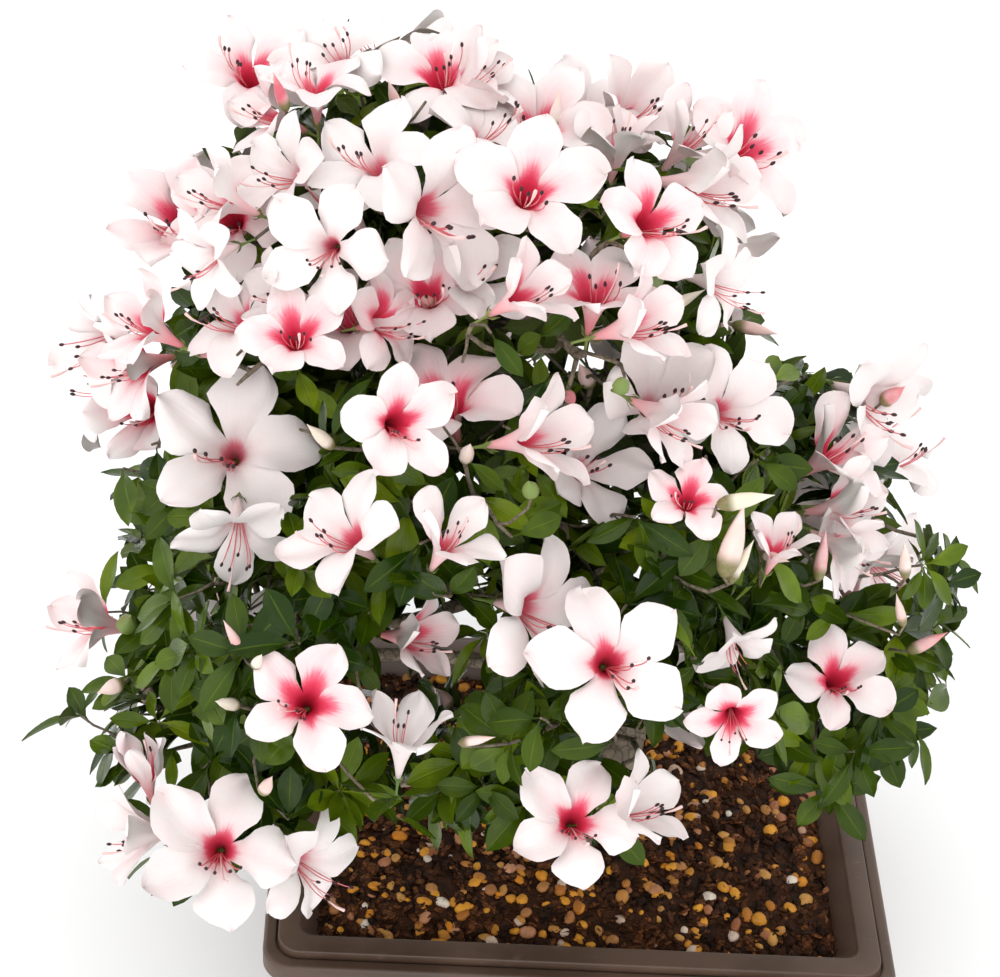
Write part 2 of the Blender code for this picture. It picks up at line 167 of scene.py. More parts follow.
# Camera, set by the pot's rim in the picture of 1000 x 977
PICTURE_WIDTH, PICTURE_HEIGHT = 1000, 977
FOCAL_PIXELS = 2301.6
VIEW_CENTRE_X = 348.8
CAMERA_PLACE = Vector((-0.0968, -0.8084, 0.9976))
CAMERA_YAW = math.radians(-1.65)
CAMERA_PITCH = math.radians(41)
CAMERA_ROLL = math.radians(1.13)
SENSOR_WIDTH = 36.0

# Blooms that show in the picture. Each row has the pixel of the bloom's middle, the
# way it faces (degrees anticlockwise from the right, and degrees away from the
# camera), how far it has opened, its span in pixels, its blush from 0 to 1, and how
# far behind the crown's skin it sits, in mm
FRONT_BLOOMS = (
    (440, 72, 108, 34, "open", 140, 0.8, 0), (498, 62, 35, 68, "funnel", 115, 0.5, 12),
    (316, 84, 92, 58, "open", 118, 0.8, 4), (250, 104, 158, 62, "funnel", 112, 0.85, 6),
    (372, 158, 122, 35, "open", 140, 0.2, 0), (196, 188, 160, 62, "funnel", 122, 0.55, 4),
    (326, 248, 205, 16, "open", 134, 0.2, 0), (206, 258, 205, 58, "open", 112, 0.15, 10),
    (262, 290, 172, 58, "funnel", 104, 0.15, 16), (284, 172, 165, 48, "open", 124, 0.15, 24),
    (484, 128, 60, 50, "open", 118, 0.2, 24), (440, 212, 350, 42, "open", 176, 0.35, 4),
    (530, 190, 70, 20, "open", 160, 0.75, 0), (548, 282, 28, 58, "funnel", 124, 0.75, 4),
    (654, 222, 18, 32, "open", 138, 0.9, 0), (622, 122, 82, 58, "funnel", 112, 0.6, 4),
    (708, 120, 48, 52, "funnel", 122, 0.5, 4), (738, 190, 350, 66, "funnel", 150, 0.5, 6),
    (664, 318, 14, 60, "funnel", 132, 0.8, 2), (724, 284, 345, 56, "open", 118, 0.15, 16),
    (296, 336, 90, 26, "open", 118, 1.0, 2), (386, 322, 8, 46, "open", 112, 1.0, 10),
    (124, 312, 150, 60, "funnel", 122, 0.95, 6), (108, 372, 196, 58, "funnel", 126, 1.0, 2),
    (232, 450, 90, 10, "open", 178, 0.15, -8), (236, 536, 268, 52, "open", 130, 0.1, 12),
    (400, 424, 0, 20, "open", 126, 0.85, 0), (344, 534, 140, 48, "open", 142, 0.45, 2),
    (460, 520, 62, 52, "funnel", 122, 0.5, 2), (568, 434, 8, 62, "funnel", 146, 0.65, 4),
    (690, 430, 330, 60, "funnel", 122, 0.65, 6), (688, 500, 90, 26, "open", 92, 1.0, 10),
    (540, 612, 350, 44, "open", 165, 0.35, 4), (610, 664, 90, 8, "open", 165, 0.55, 0),
    (436, 640, 356, 60, "funnel", 112, 0.95, 26), (306, 704, 90, 12, "open", 134, 1.0, 0),
    (406, 712, 84, 70, "funnel", 122, 0.05, 2), (856, 436, 40, 52, "funnel", 132, 0.8, 0),
    (872, 504, 8, 60, "funnel", 118, 0.7, 8), (866, 560, 330, 60, "funnel", 108, 0.4, 8),
    (786, 530, 72, 58, "funnel", 92, 0.7, 6), (840, 680, 58, 20, "open", 114, 0.85, 0),
    (738, 648, 290, 62, "open", 98, 0.05, 10), (734, 720, 268, 24, "open", 98, 1.0, 2),
    (574, 822, 90, 14, "open", 132, 0.75, 0), (660, 800, 22, 62, "funnel", 128, 0.15, 8),
    (66, 618, 168, 68, "funnel", 122, 0.8, 6), (138, 738, 100, 70, "half", 100, 0.9, 4),
    (116, 838, 184, 60, "funnel", 124, 0.35, 6), (218, 850, 90, 10, "open", 160, 0.55, 0),
    (312, 866, 338, 52, "open", 132, 0.3, 6),
)

# Buds that show: pixel, the way they point as above, length in pixels, blush
FRONT_BUDS = (
    (233, 637, 118, 70, 42, 0.6), (258, 661, 60, 50, 22, 0.2), (110, 688, 200, 60, 30, 0.4),
    (267, 785, 60, 60, 26, 0.5), (477, 740, 12, 66, 40, 0.45), (734, 540, 76, 80, 78, 0.45),
    (741, 562, 62, 76, 52, 0.05), (746, 500, 10, 82, 58, 0.02), (822, 556, 84, 76, 52, 0.85),
    (905, 560, 96, 70, 40, 0.4), (900, 610, 108, 68, 38, 0.5), (928, 642, 30, 68, 44, 0.8),
    (893, 395, 38, 66, 30, 0.9), (280, 92, 110, 66, 42, 1.0), (556, 110, 80, 66, 44, 0.4),
)
# Seed pods that show: pixel, the way they point, length in pixels
FRONT_PODS = (
    (622, 384, 80, 30, 22), (530, 488, 110, 40, 24), (128, 622, 60, 40, 26),
)
# Middle of the crown in the picture, in pixels
CROWN_MIDDLE = (470, 440)
# Sky and ground that show through the crown: pixel of the middle and radius in pixels
SKY_GAPS = (
    (576, 356, 18), (540, 366, 13), (602, 350, 13), (638, 572, 13), (598, 556, 12),
    (654, 619, 10), (712, 546, 7), (150, 560, 10), (186, 748, 10), (230, 778, 8),
    (150, 640, 6), (262, 598, 7), (866, 614, 8), (906, 684, 7), (786, 622, 6),
    (760, 350, 22), (590, 240, 14),
)
# Places where a limb shows, with no leaves before it: pixel and radius in pixels
LIMB_GAPS = (
    (628, 748, 26), (474, 682, 14), (500, 392, 22), (612, 380, 20), (560, 240, 22),
)
# Where blossom hides most of the leaves: middle and half width and height in pixels
BLOSSOM_ZONES = (
    (440, 205, 330, 205), (330, 350, 250, 110), (860, 490, 66, 110), (590, 420, 150, 60),
)
# Outline of the crown, and of its leaves alone, in the picture: pixels, anticlockwise
CROWN_OUTLINE = (
    (440, -14), (365, 20), (330, 8), (262, 12), (196, 60), (196, 128), (150, 150), (120, 215),
    (150, 250), (60, 300), (52, 420), (104, 432), (118, 500), (140, 532), (120, 560),
    (92, 575), (40, 560), (0, 660), (20, 760), (84, 760), (60, 800), (60, 890), (150, 915),
    (210, 945), (310, 950), (350, 862), (430, 838), (510, 845), (520, 892), (700, 872),
    (720, 790), (790, 780), (800, 836), (870, 820), (880, 790), (905, 792), (935, 755),
    (955, 690), (955, 650), (950, 610), (990, 608), (975, 560), (925, 535), (915, 392),
    (860, 368), (770, 366), (735, 372), (748, 345), (786, 350), (752, 312), (782, 262), (780, 120),
    (752, 80), (690, 56), (600, 70), (560, 88), (535, 84), (530, 44), (500, 10),
)
LEAF_OUTLINE = (
    (450, 62), (390, 84), (300, 88), (222, 128), (204, 190), (186, 290), (160, 345), (106, 396),
    (114, 450), (116, 505), (128, 540), (92, 590), (96, 640), (70, 676), (18, 745), (36, 760),
    (96, 724), (92, 770), (120, 800), (150, 905), (200, 892), (250, 850), (350, 862), (440, 842),
    (520, 838), (560, 800), (630, 872), (668, 770), (700, 748), (772, 748), (800, 836), (868, 820),
    (872, 790), (906, 792), (936, 755), (934, 704), (956, 688), (954, 612), (990, 608),
    (975, 560), (925, 535), (880, 450), (850, 370), (768, 366), (736, 374), (786, 350),
    (752, 310), (716, 300), (730, 200), (712, 130), (640, 108), (590, 92), (500, 76),
)


class PotSettings(bpy.types.PropertyGroup):
    colour: FloatVectorProperty(
        name="Plastic", description="Colour of the pot's plastic",
        subtype="COLOR", size=3, min=0, max=1, default=(0.082, 0.048, 0.032))
    lip_rounding: FloatProperty(
        name="Lip rounding", description="Radius of the rim's outer edge",
        unit="LENGTH", default=2.4 * MM, min=0.2 * MM, max=4 * MM)


class SoilSettings(bpy.types.PropertyGroup):
    colour: FloatVectorProperty(
        name="Soil", description="Colour of the moist potting soil",
        subtype="COLOR", size=3, min=0, max=1, default=(0.031, 0.0105, 0.0035))
    lumps: FloatProperty(
        name="Lumps", description="Height of the lumps in the soil",
        unit="LENGTH", default=2.6 * MM, min=0, max=5 * MM)
    chip_density: FloatProperty(
        name="Chips per square metre", description="How thickly the bark chips lie",
        default=90000, min=0)
    pebble_density: FloatProperty(
        name="Pebbles per square metre", description="How thickly the grit lies",
        default=13000, min=0)


class LimbSettings(bpy.types.PropertyGroup):
    colour: FloatVectorProperty(
        name="Bark", description="Colour of the bark's plates",
        subtype="COLOR", size=3, min=0, max=1, default=(0.25, 0.19, 0.14))
    crack_depth: FloatProperty(
        name="Crack depth", description="Depth of the cracks in the bark",
        unit="LENGTH", default=0.8 * MM, min=0, max=3 * MM)
    root_count: IntProperty(
        name="Roots", description="Number of surface roots round the trunk's foot",
        default=7, min=3, max=12)


class CrownSettings(bpy.types.PropertyGroup):
    bloom_width: FloatProperty(
        name="Bloom width", description="Width of a bloom away from the picture's side",
        unit="LENGTH", default=61 * MM, min=30 * MM, max=90 * MM)
    blooms_per_mass: IntProperty(
        name="Blooms per mass", description="Most blooms on one mass, picked ones apart",
        default=8, min=0, max=20)
    shoots_per_mass: IntProperty(
        name="Leafy shoots per mass", description="Most whorls of leaves on one mass",
        default=48, min=0, max=200)
    leaf_length: FloatProperty(
        name="Leaf length", description="Length of a full leaf",
        unit="LENGTH", default=27 * MM, min=10 * MM, max=60 * MM)
    leaf_dark: FloatVectorProperty(
        name="Dark leaf", description="Colour of an old leaf",
        subtype="COLOR", size=3, min=0, max=1, default=(0.012, 0.034, 0.0005))
    leaf_light: FloatVectorProperty(
        name="Light leaf", description="Colour of a young leaf",
        subtype="COLOR", size=3, min=0, max=1, default=(0.108, 0.168, 0.003))
    petal: FloatVectorProperty(
        name="Petal", description="Colour of the petals",
        subtype="COLOR", size=3, min=0, max=1, default=(0.845, 0.795, 0.78))
    throat: FloatVectorProperty(
        name="Throat", description="Colour deep in the blooms",
        subtype="COLOR", size=3, min=0, max=1, default=(0.6, 0.02, 0.06))


class StageSettings(bpy.types.PropertyGroup):
    floor_size: FloatProperty(
        name="Floor", description="Width of the floor",
        unit="LENGTH", default=14, min=2, max=40)
    light_power: FloatProperty(
        name="Light", description="Power of the large soft light",
        unit="POWER", default=9.5, min=0)
    sky: FloatProperty(
        name="Surroundings", description="Brightness of the white surroundings",
        default=1.21, min=0, max=4)


# Meshes

class Shape:
    """Vertices and faces gathered for one mesh, with a value for each vertex by name."""

    def __init__(self, verts=(), faces=(), **values):
        self.verts = []
        self.faces = []
        self.values = {}
        self.add(verts, faces, **values)

    def add(self, verts, faces, **values):
        start = len(self.verts)
        self.verts.extend(verts)
        self.faces.extend(tuple(start + i for i in face) for face in faces)
        for name, column in values.items():
            self.values.setdefault(name, []).extend(column)

    def mesh(self, name, uvs=None):
        mesh = bpy.data.meshes.new(name)
        mesh.from_pydata([tuple(v) for v in self.verts], [], self.faces, shade_flat=False)
        for key, column in self.values.items():
            mesh.attributes.new(key, "FLOAT", "POINT").data.foreach_set("value", column)
        if uvs is not None:
            layer = mesh.uv_layers.new(name="UVMap")
            corners = np.zeros(len(mesh.loops), np.int32)
            mesh.loops.foreach_get("vertex_index", corners)
            layer.data.foreach_set("uv", np.asarray(uvs, np.float32)[corners].ravel())
        if mesh.validate():
            raise ValueError(f"{name} has broken faces")
        return mesh


def new_object(name, data):
    obj = bpy.data.objects.new(name, data)
    bpy.context.scene.collection.objects.link(obj)
    return obj


def add_piece(name, mesh, material, body_slot, *replaced):
    """A finished piece, riding with the pot and the plant."""
    mesh.materials.clear()
    mesh.materials.append(material)
    piece = new_object(name, mesh)
    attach(piece, "root")
    if replaced:
        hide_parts(*replaced)


def smoothstep(low, high, x):
    t = np.clip((x - low) / (high - low), 0, 1)
    return t * t * (3 - 2 * t)


def rows_of(vectors):
    """Vectors as the rows of an array."""
    return np.array([tuple(vector) for vector in vectors])


def grid_faces(rows, columns, start=0):
    """Quads over a grid of vertices that begins at the vertex start."""
    for i in range(rows):
        for j in range(columns):
            a = start + i * (columns + 1) + j
            yield a, a + columns + 1, a + columns + 2, a + 1


def ring_faces(rings, count, start=0):
    """Quads between closed rings of vertices, count in each, from the vertex start on."""
    for a in range(start, start + (rings - 1) * count, count):
        for i in range(count):
            j = (i + 1) % count
            yield a + i, a + j, a + count + j, a + count + i


def frames_along(points):
    """A side and an upward vector across the path at each point, with no twist."""
    ways = []
    for i in range(len(points)):
        way = points[min(i + 1, len(points) - 1)] - points[max(i - 1, 0)]
        ways.append(way.normalized())
    side = ways[0].orthogonal().normalized()
    frames = []
    for way in ways:
        side = (side - way * side.dot(way)).normalized()
        frames.append((side, way.cross(side)))
    return frames


def tube(points, radii, sides, reach=None):
    """Rings round a path, closed by a point at either end.

    reach(i, angle) scales the radius at the ring i.
    """
    verts = [points[0]]
    for i, (point, (side, up)) in enumerate(zip(points, frames_along(points))):
        for k in range(sides):
            angle = 2 * math.pi * k / sides
            radius = radii[i] * (reach(i, angle) if reach else 1)
            verts.append(point + (side * math.cos(angle) + up * math.sin(angle)) * radius)
    verts.append(points[-1])
    faces = list(ring_faces(len(points), sides, 1))
    last = len(verts) - 1
    top = last - sides
    for k in range(sides):
        after = (k + 1) % sides
        faces.append((0, 1 + after, 1 + k))
        faces.append((top + k, top + after, last))
    return verts, faces


def level_way(angle):
    """The level direction at an angle in radians from +X."""
    return Vector((math.cos(angle), math.sin(angle), 0))


def rise(height):
    return Vector((0, 0, height))


def wander_at(place):
    """A wandering offset of up to about 1 each way, the same for a place on every run."""
    return Vector([noise.noise(place + Vector((31.7 * k, 0, 0))) for k in range(3)])


def bezier(points, steps):
    """Points along a Bezier curve through any number of control points."""
    result = []
    for i in range(steps + 1):
        row = list(points)
        t = i / steps
        while len(row) > 1:
            row = [a.lerp(b, t) for a, b in zip(row, row[1:])]
        result.append(row[0])
    return result


# Copies made by geometry nodes

def new_tree(name, sockets):
    """A geometry tree with a geometry going in and out and the other inputs named."""
    tree = bpy.data.node_groups.new(name, "GeometryNodeTree")
    new = tree.interface.new_socket
    new("Geometry", in_out="INPUT", socket_type="NodeSocketGeometry")
    new("Geometry", in_out="OUTPUT", socket_type="NodeSocketGeometry")
    for socket_name, kind in sockets:
        new(socket_name, in_out="INPUT", socket_type="NodeSocket" + kind)
    return tree, tree.nodes.new("NodeGroupInput"), tree.nodes.new("NodeGroupOutput")


def set_input(tree, socket, value):
    """Links an input to another node's output, or gives it a plain value."""
    if isinstance(value, Value):
        value = value.socket
    if isinstance(value, bpy.types.NodeSocket):
        tree.links.new(value, socket)
    else:
        socket.default_value = value


def new_node(tree, kind, inputs=(), **settings):
    """A node with its settings made and its inputs linked or set."""
    node = tree.nodes.new(kind)
    for name, value in settings.items():
        setattr(node, name, value)
    for key, value in dict(inputs).items():
        set_input(tree, node.inputs[key], value)
    return node


def finish_tree(tree, group_in, group_out, points, index, turn, scale, tone):
    """Puts a copy at each point, gives it its tone, and makes the copies one real mesh."""
    copies = new_node(tree, "GeometryNodeCollectionInfo", {
        "Collection": group_in.outputs["Copies"],
        "Separate Children": True,
        "Reset Children": True,
    })
    put = new_node(tree, "GeometryNodeInstanceOnPoints", {
        "Points": points,
        "Instance": copies.outputs[0],
        "Pick Instance": True,
        "Instance Index": index,
        "Rotation": turn,
        "Scale": scale,
    })
    toned = new_node(tree, "GeometryNodeStoreNamedAttribute", {
        "Geometry": put.outputs[0], "Name": "tone", "Value": tone,
    }, data_type="FLOAT", domain="INSTANCE")
    real = new_node(tree, "GeometryNodeRealizeInstances", {"Geometry": toned.outputs[0]})
    done = new_node(tree, "GeometryNodeSetMaterial", {
        "Geometry": real.outputs[0], "Material": group_in.outputs["Material"],
    })
    tree.links.new(done.outputs[0], group_out.inputs[0])


@functools.lru_cache(maxsize=1)
def place_copies_tree():
    """Copies stand where a carrier's points say, turned, sized and toned as they say."""
    sockets = (("Copies", "Collection"), ("Material", "Material"))
    tree, group_in, group_out = new_tree("place_copies", sockets)

    def stored(kind, name):
        node = new_node(
            tree, "GeometryNodeInputNamedAttribute", {"Name": name}, data_type=kind)
        return node.outputs[0]

    finish_tree(
        tree, group_in, group_out, group_in.outputs["Geometry"], stored("INT", "kind"),
        stored("QUATERNION", "turn"), stored("FLOAT", "size"), stored("FLOAT", "tone"))
    return tree


@functools.lru_cache(maxsize=1)
def scatter_tree():
    """Copies lie scattered over a surface, turned and sized by chance."""
    sockets = (
        ("Copies", "Collection"), ("Material", "Material"), ("Density", "Float"),
        ("Seed", "Int"), ("Smallest", "Float"), ("Largest", "Float"), ("Tilt", "Float"))
    tree, group_in, group_out = new_tree("scatter", sockets)
    spots = new_node(tree, "GeometryNodeDistributePointsOnFaces", {
        "Mesh": group_in.outputs["Geometry"],
        "Density": group_in.outputs["Density"],
        "Seed": group_in.outputs["Seed"],
    })

    def chance(low, high, kind="FLOAT", number=0):
        """A random value for each point; the sockets for each kind differ in place."""
        seed = new_node(tree, "ShaderNodeMath", {
            0: group_in.outputs["Seed"], 1: float(number)}, operation="ADD")
        node = new_node(
            tree, "FunctionNodeRandomValue", {"Seed": seed.outputs[0]}, data_type=kind)
        ends = [s for s in node.inputs if s.enabled and s.name in ("Min", "Max")]
        for socket, value in zip(ends, (low, high)):
            set_input(tree, socket, value)
        return next(s for s in node.outputs if s.enabled)

    tilt = group_in.outputs["Tilt"]
    back = new_node(tree, "ShaderNodeMath", {0: tilt, 1: -1.0}, operation="MULTIPLY")
    angles = new_node(tree, "ShaderNodeCombineXYZ", {
        "X": chance(back.outputs[0], tilt, number=1),
        "Y": chance(back.outputs[0], tilt, number=2),
        "Z": chance(0.0, 2 * math.pi, number=3),
    })
    turn = new_node(tree, "FunctionNodeEulerToRotation", {0: angles.outputs[0]})
    size = chance(group_in.outputs["Smallest"], group_in.outputs["Largest"], number=4)
    finish_tree(
        tree, group_in, group_out, spots.outputs["Points"], chance(0, 100, "INT", 5),
        turn.outputs[0], size, chance(0.0, 1.0, number=6))
    return tree


def run_tree(carrier, tree, inputs, originals):
    """The mesh that a tree makes of a carrier, with the originals cleared away after."""
    collection = bpy.data.collections.new("originals")
    for i, mesh in enumerate(originals):
        collection.objects.link(bpy.data.objects.new(f"original_{i:02}", mesh))
    obj = new_object("carrier", carrier)
    modifier = obj.modifiers.new("copies", "NODES")
    modifier.node_group = tree
    for item in tree.interface.items_tree:
        if item.in_out == "INPUT" and item.name in inputs:
            modifier[item.identifier] = inputs[item.name]
        elif item.in_out == "INPUT" and item.name == "Copies":
            modifier[item.identifier] = collection
    evaluated = obj.evaluated_get(bpy.context.evaluated_depsgraph_get())
    mesh = bpy.data.meshes.new_from_object(evaluated)
    obj.modifiers.remove(modifier)
    bpy.data.objects.remove(obj)
    for original in list(collection.objects):
        bpy.data.objects.remove(original)
    bpy.data.collections.remove(collection)
    return mesh


def add_copies(name, copies, originals, material):
    """The piece that joins originals put at (place, quaternion, size, kind, tone) each."""
    places, turns, sizes, kinds, tones = zip(*copies)
    carrier = bpy.data.meshes.new(name)
    carrier.from_pydata([tuple(place) for place in places], [], [])
    for key, kind, values in (
            ("turn", "QUATERNION", [part for turn in turns for part in turn]),
            ("size", "FLOAT", sizes), ("kind", "INT", kinds), ("tone", "FLOAT", tones)):
        carrier.attributes.new(key, kind, "POINT").data.foreach_set("value", values)
    mesh = run_tree(carrier, place_copies_tree(), {"Material": material}, originals)
    add_piece(name, mesh, material, "leaves_and_petals")


# Materials

def shader_node(tree, kind, inputs=(), **settings):
    return new_node(tree, "ShaderNode" + kind, inputs, **settings)


class Value:
    """A number or a colour that a node gives, to be worked with in sums."""

    def __init__(self, socket):
        self.socket = socket

    def maths(self, operation, *terms, **settings):
        """A Math node over this value, or over the terms where some are given."""
        inputs = dict(enumerate(terms or (self,)))
        tree = self.socket.id_data
        return Value(shader_node(tree, "Math", inputs, operation=operation, **settings).outputs[0])

    def __add__(self, other):
        return self.maths("ADD", self, other)

    def __sub__(self, other):
        return self.maths("SUBTRACT", self, other)

    def __rsub__(self, other):
        return self.maths("SUBTRACT", other, self)

    def __mul__(self, other):
        return self.maths("MULTIPLY", self, other)

    def times(self, factor, plus, clamp=False):
        return self.maths("MULTIPLY_ADD", self, factor, plus, use_clamp=clamp)

    def between(self, low, high):
        """0 below low, 1 above high, smooth between."""
        inputs = {"Value": self, "From Min": low, "From Max": high}
        node = shader_node(
            self.socket.id_data, "MapRange", inputs, interpolation_type="SMOOTHSTEP")
        return Value(node.outputs["Result"])


@functools.lru_cache(maxsize=1)
def mottle_group():
    """Uneven light and dark, coarse and fine, that every finish here has some of."""
    tree = bpy.data.node_groups.new("mottle", "ShaderNodeTree")
    new = tree.interface.new_socket
    new("Coarse", in_out="INPUT", socket_type="NodeSocketFloat").default_value = 40
    new("Fine", in_out="INPUT", socket_type="NodeSocketFloat").default_value = 400
    new("Blend", in_out="OUTPUT", socket_type="NodeSocketFloat")
    new("Grain", in_out="OUTPUT", socket_type="NodeSocketFloat")
    group_in = tree.nodes.new("NodeGroupInput")
    group_out = tree.nodes.new("NodeGroupOutput")
    place = shader_node(tree, "TexCoord").outputs["Object"]
    for scale, detail, result, low, high in (
            ("Coarse", 3.0, "Blend", 0.32, 0.68), ("Fine", 2.0, "Grain", 0.3, 0.7)):
        noisy = shader_node(tree, "TexNoise", {
            "Vector": place, "Scale": group_in.outputs[scale], "Detail": detail})
        value = Value(noisy.outputs["Fac"]).between(low, high)
        tree.links.new(value.socket, group_out.inputs[result])
    return tree


class Finish:
    """A material in the making: its nodes, its shader, and the blend and grain of its mottle."""

    def __init__(self, name, roughness, coarse, fine, **constants):
        self.material = bpy.data.materials.new(name)
        self.material.use_nodes = True
        self.tree = self.material.node_tree
        self.shader = self.tree.nodes["Principled BSDF"]
        self.shader.inputs["Roughness"].default_value = roughness
        for key, value in constants.items():
            self.shader.inputs[key.replace("_", " ")].default_value = value
        mottle = self.node("Group", node_tree=mottle_group())
        mottle.inputs["Coarse"].default_value = coarse
        mottle.inputs["Fine"].default_value = fine
        self.blend = Value(mottle.outputs["Blend"])
        self.grain = Value(mottle.outputs["Grain"])

    def node(self, kind, inputs=(), **settings):
        return shader_node(self.tree, kind, inputs, **settings)

    def stored(self, name):
        """A value that the mesh carries."""
        return Value(self.node("Attribute", attribute_name=name).outputs["Fac"])

    def place(self):
        return self.node("TexCoord").outputs["Object"]

    def stretched(self, vector, *scale):
        return self.node("Mapping", {"Vector": vector, "Scale": scale}).outputs[0]

    def noise(self, vector, scale, detail, **inputs):
        node = self.node("TexNoise", {
            "Vector": vector, "Scale": scale, "Detail": detail, **inputs})
        return node.outputs

    def underneath(self):
        """1 on the back of a leaf or petal, 0 on its face."""
        return Value(self.node("NewGeometry").outputs["Backfacing"])

    def ramp(self, factor, *stops):
        """A colour ramp with (position, colour) stops."""
        node = self.node("ValToRGB", {"Fac": factor})
        elements = node.color_ramp.elements
        while len(elements) < len(stops):
            elements.new(1.0)
        for element, (position, colour) in zip(elements, stops):
            element.position = position
            element.color = (*colour, 1.0)
        return Value(node.outputs["Color"])

    def mix(self, factor, first, second, blend="MIX"):
        """The first colour where the factor is 0, and the second where it is 1."""
        node = self.node("Mix", data_type="RGBA", blend_type=blend)
        for number, value in ((0, factor), (6, first), (7, second)):
            if number and not isinstance(value, Value):
                value = (*value, 1.0)
            set_input(self.tree, node.inputs[number], value)
        return Value(node.outputs[2])

    def done(self, colour, bump=None, roughness=None):
        """The material, with what varies over it; bump is height, distance and strength."""
        fed = {"Base Color": colour}
        if roughness:
            fed["Roughness"] = roughness
        if bump:
            node = self.node("Bump", dict(zip(("Height", "Distance", "Strength"), bump)))
            fed["Normal"] = node.outputs["Normal"]
        for name, value in fed.items():
            set_input(self.tree, self.shader.inputs[name], value)
        return self.material


def scaled(colour, share):
    return tuple(min(1.0, channel * share) for channel in colour)


def pot_finish(colour):
    """Matte brown plastic, uneven, and paler where it is scuffed."""
    finish = Finish("pot_plastic", 0.42, 22, 900)
    base = finish.mix(finish.blend, scaled(colour, 0.82), scaled(colour, 1.3))
    scratches = finish.noise(
        finish.stretched(finish.place(), 50.0, 90.0, 160.0), 1.6, 8.0, Roughness=0.7)
    scuffs = Value(scratches["Fac"]).between(0.56, 0.78)
    worn = finish.mix(scuffs * 0.4, base, (0.17, 0.145, 0.135))
    rough = scuffs.times(0.15, finish.blend.times(0.16, 0.36))
    return finish.done(worn, (finish.grain, 0.05 * MM, 0.35), rough)


def soil_finish(name, colour, red):
    """Moist bark soil: near black to reddish brown by each crumb's tone."""
    finish = Finish(name, 0.6, 130, 900, Specular_IOR_Level=0.16)
    crumb = finish.mix(finish.blend, scaled(colour, 0.45), scaled(colour, 1.9))
    reddish = finish.mix(finish.stored("tone").between(0.35, 1.0), crumb, red)
    return finish.done(finish.mix(finish.grain, reddish, crumb), (finish.grain, 0.4 * MM, 1.0))


def pebble_finish():
    """Washed grit in ochre, tan, pinkish brown and a few whites, by each pebble's tone."""
    finish = Finish("grit", 0.3, 260, 1800, Specular_IOR_Level=0.2)
    stone = finish.ramp(
        finish.stored("tone"),
        (0.0, (0.72, 0.25, 0.02)), (0.28, (0.86, 0.39, 0.04)), (0.45, (0.46, 0.16, 0.025)),
        (0.62, (0.66, 0.34, 0.09)), (0.76, (0.33, 0.115, 0.05)), (0.9, (0.64, 0.3, 0.16)),
        (0.985, (0.88, 0.78, 0.66)))
    stained = finish.mix(finish.blend * 0.3, stone, (0.2, 0.08, 0.02))
    return finish.done(stained, (finish.grain, 0.12 * MM, 0.5))


def bark_finish(name, colour, crack, stretch):
    """Plates of grey-brown bark with dark cracks that run along the limb."""
    finish = Finish(name, 0.86, 55, 1300)
    place = finish.place()
    bends = finish.noise(place, 130.0, 2.0)["Color"]
    pushed = finish.node("VectorMath", {
        0: bends, 1: (0.009, 0.009, 0.009), 2: place}, operation="MULTIPLY_ADD")
    plates = finish.node("TexVoronoi", {
        "Vector": finish.stretched(pushed.outputs[0], 1.0, 1.0, stretch),
        "Scale": 190.0}, feature="DISTANCE_TO_EDGE")
    cracks = Value(plates.outputs["Distance"]).between(0.0, 0.12).times(0.65, 0.35)
    plain = finish.mix(finish.blend, scaled(colour, 0.62), scaled(colour, 1.35))
    mossy = finish.mix(finish.grain * 0.25, plain, (0.16, 0.17, 0.09))
    relief = finish.grain.times(0.4, cracks)
    return finish.done(finish.mix(cracks, crack, mossy), (relief, 0.5 * MM, 0.8))


def leaf_finish(dark, light):
    """Glossy leaves, paler along the midrib and side veins and dull underneath."""
    finish = Finish("azalea_leaf", 0.25, 45, 1500, Specular_IOR_Level=0.2)
    uneven = finish.blend.times(0.3, finish.stored("tone") - 0.15)
    middle = tuple(0.66 * a + 0.34 * b for a, b in zip(dark, light))
    olive = (1.7 * light[0], 1.45 * light[1], 1.5 * light[2])
    blade = finish.ramp(uneven, (0.0, dark), (0.4, middle), (0.76, light), (1.0, olive))
    uv = finish.node("SeparateXYZ", {0: finish.node("UVMap", uv_map="UVMap").outputs[0]})
    along = Value(uv.outputs["Y"])
    across = Value(uv.outputs["X"]).times(2.0, -1.0).maths("ABSOLUTE")
    rib = 1.0 - across.between(0.03, 0.11)
    slant = across.times(-4.4, along * 6.0) * math.pi
    veins = 1.0 - slant.maths("SINE").maths("ABSOLUTE").between(0.02, 0.22)
    vein = rib.maths("MAXIMUM", rib, veins * 0.4)
    top = finish.mix(vein * 0.3, blade, scaled(light, 1.2))
    under = finish.mix(0.5, blade, (0.13, 0.18, 0.04))
    back = finish.underneath()
    rough = back.times(0.25, finish.grain.times(0.12, 0.14))
    return finish.done(finish.mix(back, top, under), (vein * -1.0, 0.25 * MM, 0.7), rough)


